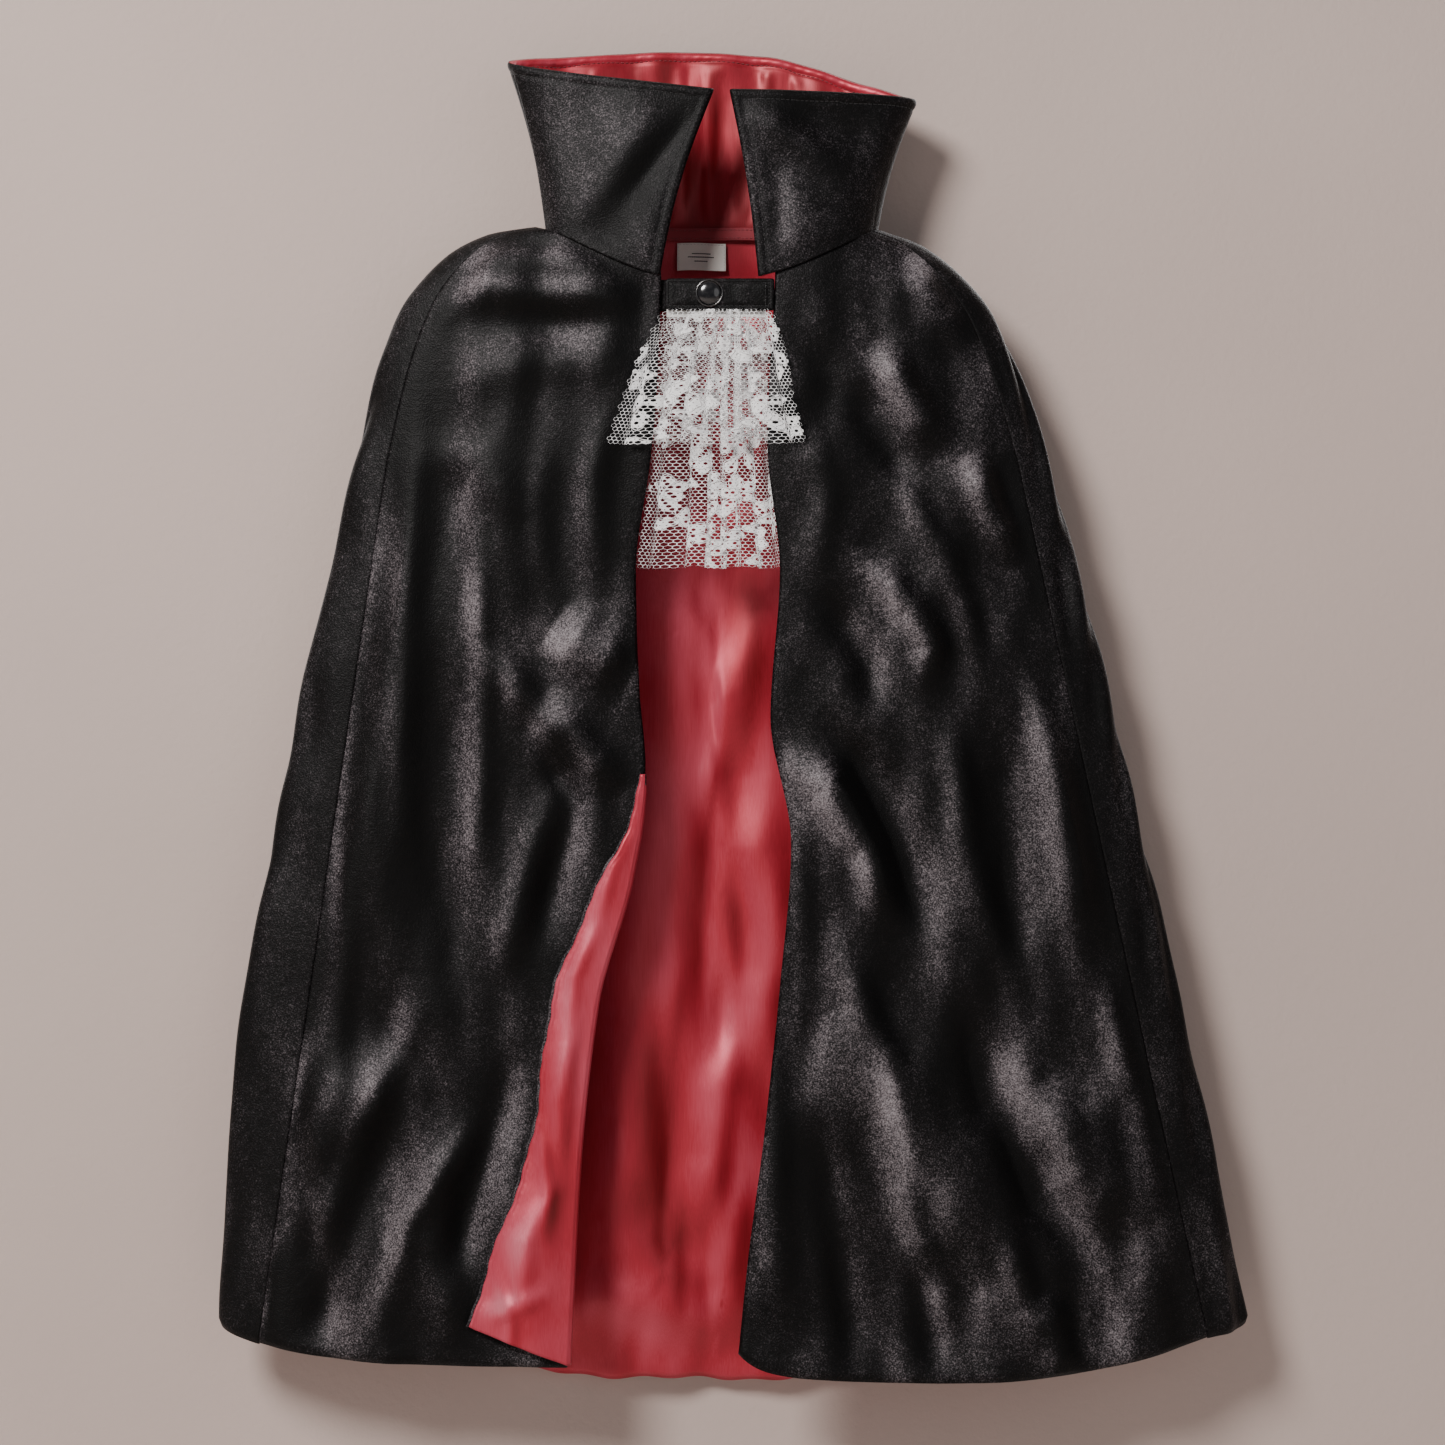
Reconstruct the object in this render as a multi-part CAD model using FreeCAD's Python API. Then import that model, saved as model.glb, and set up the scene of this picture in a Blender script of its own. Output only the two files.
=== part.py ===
import FreeCAD, Part
import math
import os

os.makedirs("parts", exist_ok=True)

# Child's costume cape with a tall stand-up collar, a snapped neck strap and a lace jabot.
# Millimetres, +Z up, front towards -Y. The origin is the centre back of the neck seam's height,
# on the cape's middle plane. Cloth pieces are thin closed sheets, parted by a small air gap.

VELVET = 1.6
LINING = 0.8
INTERFACING = 1.0
TAPE = 0.9
LACE = 1.2
GAP = 0.3

# The outline, as (z, half width), from the end of the neck seam down over the shoulder to the hem.
LEFT_SIDE = (
    (5, 108),
    (-1, 146),
    (-18, 176),
    (-49, 201),
    (-95, 219),
    (-211, 246),
    (-324, 270),
    (-440, 294),
    (-560, 311),
    (-708, 319),
)
RIGHT_SIDE = (
    (3, 106),
    (-8, 136),
    (-30, 164),
    (-56, 184),
    (-101, 203),
    (-211, 236),
    (-327, 264),
    (-445, 292),
    (-565, 318),
    (-704, 348),
)
BACK_DEPTH = ((5, 26), (-40, 28), (-150, 30), (-440, 33), (-745, 36))
NECK_FRONT_DEPTH = 28
COLLAR_FRONT_DEPTH = 32
NECK_HALF_WIDTH = 106
NECK_SIDE_Z = 4
COLLAR_FRONT_Z = -31

# The side seams are straight lines towards the front of each side, so that a front panel can
# swing open about them. Each is (half width, z) at the yoke line and at the hem.
YOKE_Z = -150
HEM_Z = -712
YOKE_CLEARANCE = 1.2
SEAM_DEPTH = 14.5
LEFT_SEAM = (210, 292)
RIGHT_SEAM = (198, 320)
SEAM_GAP = 2.0

# Inner edges of the fronts, as (z, x).
LEFT_INNER_EDGE = (
    (-31, -33),
    (-107, -36),
    (-150, -40),
    (-218, -49),
    (-293, -47),
    (-346, -43),
    (-417, -53),
    (-497, -75),
    (-608, -87),
    (-735, -93),
)
RIGHT_INNER_EDGE = (
    (-31, 41),
    (-139, 36),
    (-218, 44),
    (-313, 38),
    (-394, 51),
    (-485, 44),
    (-577, 34),
    (-663, 23),
    (-745, 15),
)

# Below TURNBACK_TOP the left inner edge is turned outward and lies on its own velvet.
TURNBACK_TOP = -356
TURNBACK_EDGE = (
    (-356, -52),
    (-419, -73),
    (-497, -104),
    (-586, -117),
    (-654, -141),
    (-735, -166),
)
TURNBACK_LIFT = 2.4

# Hem heights at the middle of each panel, below the height at the side.
LEFT_HEM_DROP = 24
RIGHT_HEM_DROP = 42
BACK_HEM_DROP = 38
SIDE_HEM_Z = -706

# Collar rim, as (angle in degrees round the neck, z). The front edges are at 270 and -90.
COLLAR_RIM = (
    (-85, 89),
    (0, 87),
    (40, 100),
    (60, 113),
    (75, 121),
    (100, 124),
    (130, 120),
    (180, 112),
    (271, 89),
)
COLLAR_RIM_WIDTH = 132
COLLAR_RIM_DEPTH = 30
COLLAR_BASE_GAP = 1.5
COLLAR_BASE_ANGLES = (-73.5, 251.5)
COLLAR_RIM_ANGLES = (-85.0, 270.5)
# How far the collar's cloths stop short of its ends, base and rim, in percent.
COLLAR_END_INSET = 0.6
COLLAR_TURN_INSET = 1.0

# Tape inside the back of the neck, and the label sewn in under it.
NECK_TAPE_ANGLES = (60, 120)
NECK_TAPE_TOP = 7.5
NECK_TAPE_BOTTOM = -1.5
NECK_TAPE_STANDOFF = 2.2
LABEL_WIDTH = 32
LABEL_HEIGHT = 18
LABEL_LEFT = -23
LABEL_TOP = -2.5
LABEL_THICKNESS = 0.6
LABEL_STANDOFF = 1.6

# Neck strap, from its free end at the left to its sewn end at the right.
STRAP_LEFT = -29.5
STRAP_RIGHT = 38.5
STRAP_TOP = -33.0
STRAP_HEIGHT = 19.5
STRAP_FACE_Y = -33.2
SNAP_X = -1.6
SNAP_Z = -42.0
CAP_RADIUS = 7.5
CAP_HEIGHT = 3.4
RING_OUTER_RADIUS = 9.0
RING_THICKNESS = 0.8
POST_RADIUS = 1.5
POST_HOLE_RADIUS = 1.8
STUD_RADIUS = 2.0
STUD_FLANGE_RADIUS = 4.5
SOCKET_RADIUS = 5.5
SOCKET_HOLE_RADIUS = 2.8
UNDERLAP_LEFT = -50.0
UNDERLAP_RIGHT = 12.0
UNDERLAP_FACE_Y = -26.7

# Lace jabot, as (z, left x, right x, y).
UPPER_TIER = (
    (-53.6, -31, 40, -36.7),
    (-81, -47, 48, -37.6),
    (-107, -57, 52, -38.8),
    (-138, -66, 61, -40.0),
)
LOWER_TIER = (
    (-57.8, -30, 34, -28.4),
    (-134, -34, 33.5, -28.2),
    (-188, -40, 39, -27.4),
    (-217, -42, 41, -27.0),
)
UPPER_TIER_BOW = 2.0
HEADING_LEFT = -29
HEADING_RIGHT = 35
HEADING_HEIGHT = 8.5
HEADING_BELOW_STRAP = 4.5


def between(points, at):
    """Smooth curve through (position, value) points, monotone between each pair."""
    pairs = sorted(points)
    if at <= pairs[0][0]:
        return pairs[0][1]
    if at >= pairs[-1][0]:
        return pairs[-1][1]
    steps = []
    for low, high in zip(pairs, pairs[1:]):
        steps.append((high[1] - low[1]) / (high[0] - low[0]))
    slopes = [steps[0]]
    for before, after in zip(steps, steps[1:]):
        if before * after <= 0:
            slopes.append(0.0)
        else:
            slopes.append(2 * before * after / (before + after))
    slopes.append(steps[-1])
    i = max(k for k in range(len(steps)) if pairs[k][0] <= at)
    width = pairs[i + 1][0] - pairs[i][0]
    t = (at - pairs[i][0]) / width
    return (
        (2 * t**3 - 3 * t**2 + 1) * pairs[i][1]
        + (t**3 - 2 * t**2 + t) * width * slopes[i]
        + (3 * t**2 - 2 * t**3) * pairs[i + 1][1]
        + (t**3 - t**2) * width * slopes[i + 1]
    )


def mix(low, high, part):
    return low + (high - low) * part


def half_width(z, left):
    return between(LEFT_SIDE if left else RIGHT_SIDE, z)


def seam_x(z, left):
    """Half width of the straight side seam at a height. Above the yoke line it follows the outline."""
    top, bottom = LEFT_SEAM if left else RIGHT_SEAM
    if z > YOKE_Z:
        return half_width(z, left) * top / half_width(YOKE_Z, left)
    return mix(top, bottom, (z - YOKE_Z) / (HEM_Z - YOKE_Z))


def front_depth(z, left):
    """Depth of the fronts, which puts the side seam on a straight line."""
    if z > YOKE_Z:
        at_yoke = front_depth(YOKE_Z, left)
        return between(((0, NECK_FRONT_DEPTH), (COLLAR_FRONT_Z, COLLAR_FRONT_DEPTH), (YOKE_Z, at_yoke)), z)
    share = seam_x(z, left) / half_width(z, left)
    return SEAM_DEPTH / math.sqrt(1 - share**2)


def garment_point(angle, z):
    """A point on the middle of the velvet. Angle 0 is the right side, 90 the back, 270 the front."""
    across = math.cos(math.radians(angle))
    along = math.sin(math.radians(angle))
    left = across < 0
    depth = between(BACK_DEPTH, z) if along > 0 else front_depth(z, left)
    return FreeCAD.Vector(half_width(z, left) * across, depth * along, z)


def angle_at(x, z):
    """Angle round the front at which the cape has this x."""
    return 270 + math.degrees(math.asin(x / half_width(z, x < 0)))


def offset_point(surface, u, v, distance):
    """A point off a surface along its outward normal."""
    step = 0.5
    along_u = surface(u + step, v) - surface(u - step, v)
    along_v = surface(u, v + step) - surface(u, v - step)
    normal = along_u.cross(along_v)
    normal.normalize()
    return surface(u, v) + normal * distance


def border(surface, side):
    """One of the four border edges of a B-spline surface."""
    u0, u1, v0, v1 = surface.bounds()
    curves = (surface.uIso(u0), surface.vIso(v1), surface.uIso(u1), surface.vIso(v0))
    return curves[side].toShape()


def sheet_solid(outer, inner):
    """A closed solid between two grids of points."""
    surfaces = []
    for grid in (outer, inner):
        surface = Part.BSplineSurface()
        surface.interpolate(grid)
        surfaces.append(surface)
    faces = [surface.toShape() for surface in surfaces]
    for side in range(4):
        faces.append(Part.makeRuledSurface(border(surfaces[0], side), border(surfaces[1], side)))
    shell = Part.makeShell(faces)
    shell.sewShape()
    solid = Part.makeSolid(shell)
    if solid.Volume < 0:
        solid.reverse()
    return solid


def panel_solid(start, end, top, bottom, columns, rows, near, far, ease=1.0):
    """A cloth panel on the garment surface between two offsets.

    start and end give the angle at a height, top and bottom the height at a share of the way
    from start to end.
    """
    grids = ([], [])
    for i in range(columns + 1):
        share = i / columns
        lines = ([], [])
        for j in range(rows + 1):
            z = mix(top(share), bottom(share), (j / rows) ** ease)
            angle = mix(start(z), end(z), share)
            for line, distance in zip(lines, (near, far)):
                line.append(offset_point(garment_point, angle, z, distance))
        for grid, line in zip(grids, lines):
            grid.append(line)
    return sheet_solid(*grids)


def neck_z(x, front):
    """Height of the neck seam at a distance across the cape."""
    inward = math.sqrt(max(0.0, 1 - (x / NECK_HALF_WIDTH) ** 2))
    if front:
        return NECK_SIDE_Z - (NECK_SIDE_Z - COLLAR_FRONT_Z) * inward**2.5
    return NECK_SIDE_Z - 2 * inward


def neck_point(angle):
    """A point of the neck seam, at an angle round the neck."""
    x = NECK_HALF_WIDTH * math.cos(math.radians(angle))
    front = math.sin(math.radians(angle)) < 0
    z = neck_z(x, front)
    share = min(1.0, abs(x) / half_width(z, x < 0))
    depth = front_depth(z, x < 0) if front else between(BACK_DEPTH, z)
    y = depth * math.sqrt(1 - share**2)
    return FreeCAD.Vector(x, -y if front else y, z)


def panel_top(angle):
    """Height at which a line down the cape, at this angle, starts from the neck seam."""
    high = NECK_SIDE_Z
    low = COLLAR_FRONT_Z - 5
    front = math.sin(math.radians(angle)) < 0
    for _ in range(30):
        middle = (high + low) / 2
        if middle > neck_z(garment_point(angle, middle).x, front):
            high = middle
        else:
            low = middle
    return low - 0.5


def hem_z(angle):
    along = math.sin(math.radians(angle))
    left = math.cos(math.radians(angle)) < 0
    drop = BACK_HEM_DROP if along > 0 else (LEFT_HEM_DROP if left else RIGHT_HEM_DROP)
    return SIDE_HEM_Z - drop * abs(along) ** 1.2


def seam_angle(z, left):
    """Angle of a side seam, left just past 180 and right just short of 360."""
    degrees = math.degrees(math.acos(seam_x(z, left) / half_width(z, left)))
    return 180 + degrees if left else 360 - degrees


# Offsets of the velvet and of the lining inside it.
VELVET_LAYER = (VELVET / 2, -VELVET / 2)
LINING_LAYER = (-VELVET / 2 - GAP, -VELVET / 2 - GAP - LINING)


def back_panel(layer):
    """The back, which wraps round both sides to the side seams."""
    nominal_start = seam_angle(YOKE_Z, False) - 360
    nominal_end = seam_angle(YOKE_Z, True)

    def nominal(share):
        return mix(nominal_start, nominal_end, share)

    return panel_solid(
        lambda z: seam_angle(z, False) - 360,
        lambda z: seam_angle(z, True),
        lambda share: panel_top(nominal(share)),
        lambda share: hem_z(nominal(share)),
        80,
        14,
        *layer,
        ease=1.8,
    )


def front_panel(left, layer, top=None, bottom=None):
    """A front between its side seam and its inner edge, in whole or between two heights."""
    edge = LEFT_INNER_EDGE if left else RIGHT_INNER_EDGE
    sign = 1 if left else -1

    def seam_end(z):
        clear = math.degrees(SEAM_GAP / half_width(z, left)) * 2
        return seam_angle(z, left) + sign * clear

    def edge_end(z):
        return angle_at(between(edge, z), z)

    nominal_seam = seam_end(YOKE_Z)
    nominal_edge = edge_end(YOKE_Z)

    def height(limit, curve):
        def at(share):
            angle = mix(nominal_seam, nominal_edge, share if left else 1 - share)
            return limit if limit is not None else curve(angle)

        return at

    start, end = (seam_end, edge_end) if left else (edge_end, seam_end)
    return panel_solid(
        start,
        end,
        height(top, panel_top),
        height(bottom, hem_z),
        12,
        8 if bottom is None else 6,
        *layer,
        ease=1.0 if bottom is None else 1.5,
    )


def turnback(near, far):
    """The turned-back edge of the left front, from its free edge to the fold."""

    def free_edge(z):
        return angle_at(between(TURNBACK_EDGE, z), z)

    def fold(z):
        return angle_at(between(LEFT_INNER_EDGE, z) - 1.5, z)

    return panel_solid(
        free_edge,
        fold,
        lambda share: TURNBACK_TOP,
        lambda share: hem_z(250) - 2 * share,
        5,
        8,
        near,
        far,
    )


def collar_point(share, height):
    """A point on the middle of the collar. share runs from right front to left front."""
    base_angle = mix(*COLLAR_BASE_ANGLES, share)
    rim_angle = mix(*COLLAR_RIM_ANGLES, share)
    base = neck_point(base_angle)
    base.z += COLLAR_BASE_GAP
    across = math.cos(math.radians(rim_angle))
    rim = FreeCAD.Vector(
        COLLAR_RIM_WIDTH * across,
        COLLAR_RIM_DEPTH * math.sin(math.radians(rim_angle)),
        between(COLLAR_RIM, rim_angle),
    )
    return base + (rim - base) * height


def collar_layer(near, far, rim_inset=0.0):
    """One cloth of the collar, between two distances outward from its middle."""

    def surface(u, v):
        return collar_point(u / 100, v / 100)

    columns = 72
    rows = 3
    grids = ([], [])
    for i in range(columns + 1):
        inset = COLLAR_END_INSET + rim_inset
        u = mix(inset, 100 - inset, i / columns)
        lines = ([], [])
        for j in range(rows + 1):
            v = mix(COLLAR_TURN_INSET, 100 - COLLAR_TURN_INSET - rim_inset * 2, j / rows)
            for line, distance in zip(lines, (near, far)):
                line.append(offset_point(surface, u, v, distance))
        for grid, line in zip(grids, lines):
            grid.append(line)
    return sheet_solid(*grids)


def neck_tape():
    """Tape over the neck seam inside the back of the neck."""
    inside = LINING_LAYER[1] - GAP - NECK_TAPE_STANDOFF
    columns = 10
    rows = 3
    grids = ([], [])
    for i in range(columns + 1):
        angle = mix(*NECK_TAPE_ANGLES, i / columns)
        for grid, distance in zip(grids, (inside, inside - TAPE)):
            line = []
            for j in range(rows + 1):
                z = mix(NECK_TAPE_TOP, NECK_TAPE_BOTTOM, j / rows)
                flat = garment_point(angle, 0)
                shrink = 1 + distance / flat.y
                line.append(FreeCAD.Vector(flat.x, flat.y * shrink, z))
            grid.append(line)
    return sheet_solid(*grids)


def box(x0, x1, y0, y1, z0, z1):
    return Part.makeBox(x1 - x0, y1 - y0, z1 - z0, FreeCAD.Vector(x0, y0, z0))


def woven_label():
    back_inside = between(BACK_DEPTH, LABEL_TOP) - VELVET / 2 - GAP - LINING
    back_face = back_inside - LABEL_STANDOFF
    front_face = back_face - LABEL_THICKNESS
    right = LABEL_LEFT + LABEL_WIDTH
    return box(LABEL_LEFT, right, front_face, back_face, LABEL_TOP - LABEL_HEIGHT, LABEL_TOP)


def disc(radius, y0, y1, hole=0.0):
    """A round piece of the snap, along Y between two depths."""
    start = FreeCAD.Vector(SNAP_X, y0, SNAP_Z)
    shape = Part.makeCylinder(radius, y1 - y0, start, FreeCAD.Vector(0, 1, 0))
    if hole > 0:
        shape = shape.cut(Part.makeCylinder(hole, y1 - y0, start, FreeCAD.Vector(0, 1, 0)))
    return shape


def strap_layer(y0, y1):
    """One layer of the strap, with its hole for the snap's post and a rounded free end."""
    layer = box(STRAP_LEFT, STRAP_RIGHT, y0, y1, STRAP_TOP - STRAP_HEIGHT, STRAP_TOP)
    corner_radius = 3.0
    corners = [e for e in layer.Edges if e.BoundBox.XMax < STRAP_LEFT + 0.1 and e.BoundBox.YLength > 0.1]
    corners = [e for e in corners if e.BoundBox.ZLength < 0.1]
    layer = layer.makeFillet(corner_radius, corners)
    return layer.cut(disc(POST_HOLE_RADIUS, y0, y1))


def strap_layers():
    face = STRAP_FACE_Y
    velvet = (face, face + VELVET)
    interfacing = (velvet[1] + GAP, velvet[1] + GAP + INTERFACING)
    backing = (interfacing[1] + GAP, interfacing[1] + GAP + LINING)
    return velvet, interfacing, backing


STRAP_VELVET_Y, STRAP_INTERFACING_Y, STRAP_BACKING_Y = strap_layers()


def snap_ring():
    back = STRAP_FACE_Y - GAP
    return disc(RING_OUTER_RADIUS, back - RING_THICKNESS, back, hole=CAP_RADIUS + GAP)


def snap_cap():
    """Domed cap, with its post through the strap."""
    back = STRAP_FACE_Y - GAP
    radius = (CAP_RADIUS**2 + CAP_HEIGHT**2) / (2 * CAP_HEIGHT)
    centre = FreeCAD.Vector(SNAP_X, back - CAP_HEIGHT + radius, SNAP_Z)
    ball = Part.makeSphere(radius, centre)
    dome = ball.common(disc(CAP_RADIUS, back - CAP_HEIGHT - 1, back))
    post = disc(POST_RADIUS, back - 1, STRAP_BACKING_Y[1])
    return dome.fuse(post).removeSplitter()


SOCKET_FRONT_Y = STRAP_BACKING_Y[1] + GAP
SOCKET_BACK_Y = UNDERLAP_FACE_Y - 0.5 - GAP


def snap_socket():
    return disc(SOCKET_RADIUS, SOCKET_FRONT_Y, SOCKET_BACK_Y, hole=SOCKET_HOLE_RADIUS)


def snap_stud():
    """Stud on the underlap, standing in the socket's hole."""
    flange = disc(STUD_FLANGE_RADIUS, UNDERLAP_FACE_Y - 0.5, UNDERLAP_FACE_Y - 0.1)
    head = disc(STUD_RADIUS, SOCKET_FRONT_Y + 0.2, UNDERLAP_FACE_Y - 0.2)
    return flange.fuse(head).removeSplitter()


def underlap_layer(y0, y1):
    layer = box(UNDERLAP_LEFT, UNDERLAP_RIGHT, y0, y1, STRAP_TOP - STRAP_HEIGHT, STRAP_TOP)
    return layer.cut(disc(POST_HOLE_RADIUS, y0, y1))


def stud_eyelet():
    """Eyelet behind the underlap, with its tube through both layers to the stud."""
    back_face = UNDERLAP_FACE_Y + VELVET + GAP + LINING + GAP
    flange = disc(STUD_FLANGE_RADIUS, back_face, back_face + 0.8)
    tube = disc(POST_RADIUS, UNDERLAP_FACE_Y + 0.1, back_face + 0.2)
    return flange.fuse(tube).removeSplitter()


def lace_tier(rows, bow):
    """A lace tier as a sheet that bows a little to the front in the middle."""
    columns = 6
    grids = ([], [])
    for i in range(columns + 1):
        share = i / columns
        bulge = bow * math.sin(math.pi * share)
        for grid, depth in zip(grids, (-LACE / 2, LACE / 2)):
            line = []
            for z, left, right, y in rows:
                line.append(FreeCAD.Vector(mix(left, right, share), y - bulge + depth, z))
            grid.append(line)
    return sheet_solid(*grids)


def heading_tape():
    """Tape that the gathered lace is sewn to, behind the strap's lower edge."""
    bottom = STRAP_TOP - STRAP_HEIGHT - HEADING_BELOW_STRAP
    front = STRAP_BACKING_Y[1] + GAP
    return box(HEADING_LEFT, HEADING_RIGHT, front, front + TAPE, bottom, bottom + HEADING_HEIGHT)


def pieces():
    turn_front = VELVET / 2 + TURNBACK_LIFT
    yoke_bottom = YOKE_Z + YOKE_CLEARANCE / 2
    front_top = YOKE_Z - YOKE_CLEARANCE / 2
    made = {
        "back_velvet": back_panel(VELVET_LAYER),
        "back_lining": back_panel(LINING_LAYER),
        "collar_velvet": collar_layer(1.4, 1.4 - VELVET),
        "collar_interfacing": collar_layer(-0.5, -0.5 - INTERFACING, rim_inset=0.8),
        "collar_lining": collar_layer(-1.8, -1.8 - LINING),
        "neck_seam_tape": neck_tape(),
        "woven_label": woven_label(),
    }
    for side, left in (("left", True), ("right", False)):
        for cloth, layer in (("velvet", VELVET_LAYER), ("lining", LINING_LAYER)):
            made[side + "_yoke_" + cloth] = front_panel(left, layer, bottom=yoke_bottom)
            made[side + "_front_" + cloth] = front_panel(left, layer, top=front_top)
    made["left_front_turnback_velvet"] = turnback(turn_front, turn_front - VELVET)
    made["left_front_turnback_lining"] = turnback(turn_front + GAP + LINING, turn_front + GAP)
    made["strap_velvet"] = strap_layer(*STRAP_VELVET_Y)
    made["strap_interfacing"] = strap_layer(*STRAP_INTERFACING_Y)
    made["strap_backing"] = strap_layer(*STRAP_BACKING_Y)
    made["snap_cap"] = snap_cap()
    made["snap_ring"] = snap_ring()
    made["snap_socket"] = snap_socket()
    made["snap_stud"] = snap_stud()
    made["snap_stud_eyelet"] = stud_eyelet()
    made["underlap_velvet"] = underlap_layer(UNDERLAP_FACE_Y, UNDERLAP_FACE_Y + VELVET)
    lining_y = UNDERLAP_FACE_Y + VELVET + GAP
    made["underlap_backing"] = underlap_layer(lining_y, lining_y + LINING)
    made["jabot_heading_tape"] = heading_tape()
    made["jabot_lower_tier"] = lace_tier(LOWER_TIER, 0.0)
    made["jabot_upper_tier"] = lace_tier(UPPER_TIER, UPPER_TIER_BOW)
    return made


for name, shape in pieces().items():
    solid = shape.Solids[0]
    bounds = solid.BoundBox
    size = (bounds.XMin, bounds.XMax, bounds.YMin, bounds.YMax, bounds.ZMin, bounds.ZMax)
    print(name, solid.isValid(), len(shape.Solids), round(solid.Volume), [round(n, 1) for n in size])
    solid.exportStep("parts/" + name + ".step")
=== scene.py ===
import math
import random

import bpy
import numpy as np
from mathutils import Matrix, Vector


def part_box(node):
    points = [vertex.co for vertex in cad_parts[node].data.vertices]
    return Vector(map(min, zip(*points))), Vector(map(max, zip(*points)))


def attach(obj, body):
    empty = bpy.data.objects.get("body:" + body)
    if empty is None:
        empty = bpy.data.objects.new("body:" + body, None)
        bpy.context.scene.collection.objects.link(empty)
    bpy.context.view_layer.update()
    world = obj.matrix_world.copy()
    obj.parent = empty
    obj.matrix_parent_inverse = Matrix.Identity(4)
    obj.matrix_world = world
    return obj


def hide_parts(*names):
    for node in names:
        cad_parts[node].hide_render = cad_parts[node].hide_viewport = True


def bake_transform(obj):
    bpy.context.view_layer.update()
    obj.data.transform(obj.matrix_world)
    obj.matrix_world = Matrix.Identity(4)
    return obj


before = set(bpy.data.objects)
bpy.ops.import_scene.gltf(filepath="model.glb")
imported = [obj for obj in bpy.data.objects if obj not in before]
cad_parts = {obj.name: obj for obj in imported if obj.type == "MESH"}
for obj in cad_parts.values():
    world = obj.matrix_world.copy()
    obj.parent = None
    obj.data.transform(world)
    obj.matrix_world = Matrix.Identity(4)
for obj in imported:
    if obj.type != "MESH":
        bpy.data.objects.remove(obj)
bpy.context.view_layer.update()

# Sizes are in millimetres until a mesh is made, in the frame of the CAD: +Z up, front towards -Y.
MM = 0.001

# ---------------------------------------------------------------- the cape's own shape

LEFT_SIDE = ((5, 108), (-1, 146), (-18, 176), (-49, 201), (-95, 219), (-211, 246), (-324, 270),
             (-440, 294), (-560, 311), (-708, 319))
RIGHT_SIDE = ((3, 106), (-8, 136), (-30, 164), (-56, 184), (-101, 203), (-211, 236), (-327, 264),
              (-445, 292), (-565, 318), (-704, 348))
BACK_DEPTH = ((5, 26), (-40, 28), (-150, 30), (-440, 33), (-745, 36))
NECK_FRONT_DEPTH = 28
COLLAR_FRONT_DEPTH = 32
NECK_HALF_WIDTH = 106
NECK_SIDE_Z = 4
COLLAR_FRONT_Z = -31
YOKE_Z = -150
HEM_Z = -712
SEAM_DEPTH = 14.5
LEFT_SEAM = (210, 292)
RIGHT_SEAM = (198, 320)
LEFT_INNER_EDGE = ((-31, -33), (-107, -36), (-150, -40), (-218, -49), (-293, -47), (-346, -43),
                   (-417, -53), (-497, -75), (-608, -87), (-735, -93))
RIGHT_INNER_EDGE = ((-31, 41), (-139, 36), (-218, 44), (-313, 38), (-394, 51), (-485, 44),
                    (-577, 34), (-663, 23), (-745, 15))
# Each front's hem is lowest at one place, and rises from there to the side seam.
LEFT_HEM_LOW = (-100, -729)
RIGHT_HEM_LOW = (170, -739)
LEFT_HEM_RISE = 20
RIGHT_HEM_RISE = 36
RIGHT_HEM_INWARD_RISE = 8
RIGHT_CORNER_RISE = 16
RIGHT_CORNER_SIZE = 12
TURNBACK_TOP = -350
TURNBACK_EDGE = ((-350, -46), (-372, -50), (-419, -73), (-497, -104), (-586, -117), (-654, -141),
                 (-735, -166))
# How far the back drops by where its wraps meet the fronts at the side seams.
LEFT_WRAP_DROP = 33
RIGHT_WRAP_DROP = 23
BACK_HEM_DROP = 38
SIDE_HEM_Z = -706
COLLAR_RIM = ((-85, 89), (0, 87), (40, 100), (60, 113), (75, 121), (100, 124), (130, 120),
              (180, 112), (271, 89))
COLLAR_RIM_WIDTH = 132
COLLAR_RIM_DEPTH = 30
# Degrees round the neck, from the collar's right front edge to its left one.
COLLAR_BASE_ANGLES = (-73.5, 251.5)
COLLAR_RIM_ANGLES = (-85.0, 270.5)


def between(points, at):
    """Smooth curve through (position, value) points, monotone between each pair."""
    at = np.asarray(at, dtype=float)
    pairs = np.array(sorted(points), dtype=float)
    xs, ys = pairs[:, 0], pairs[:, 1]
    widths = np.diff(xs)
    steps = np.diff(ys) / widths
    slopes = np.concatenate(([steps[0]], np.zeros(len(steps) - 1), [steps[-1]]))
    for k in range(1, len(steps)):
        if steps[k - 1] * steps[k] > 0:
            slopes[k] = 2 * steps[k - 1] * steps[k] / (steps[k - 1] + steps[k])
    i = np.clip(np.searchsorted(xs, at, side="right") - 1, 0, len(steps) - 1)
    t = np.clip((at - xs[i]) / widths[i], 0, 1)
    return (
        (2 * t**3 - 3 * t**2 + 1) * ys[i]
        + (t**3 - 2 * t**2 + t) * widths[i] * slopes[i]
        + (3 * t**2 - 2 * t**3) * ys[i + 1]
        + (t**3 - t**2) * widths[i] * slopes[i + 1]
    )


def mix(low, high, part):
    return low + (high - low) * part


def ease(value, low, high):
    """Smooth step from 0 at low to 1 at high."""
    t = np.clip((value - low) / (high - low), 0, 1)
    return t * t * (3 - 2 * t)


def half_width(z, left):
    return np.where(left, between(LEFT_SIDE, z), between(RIGHT_SIDE, z))


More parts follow.
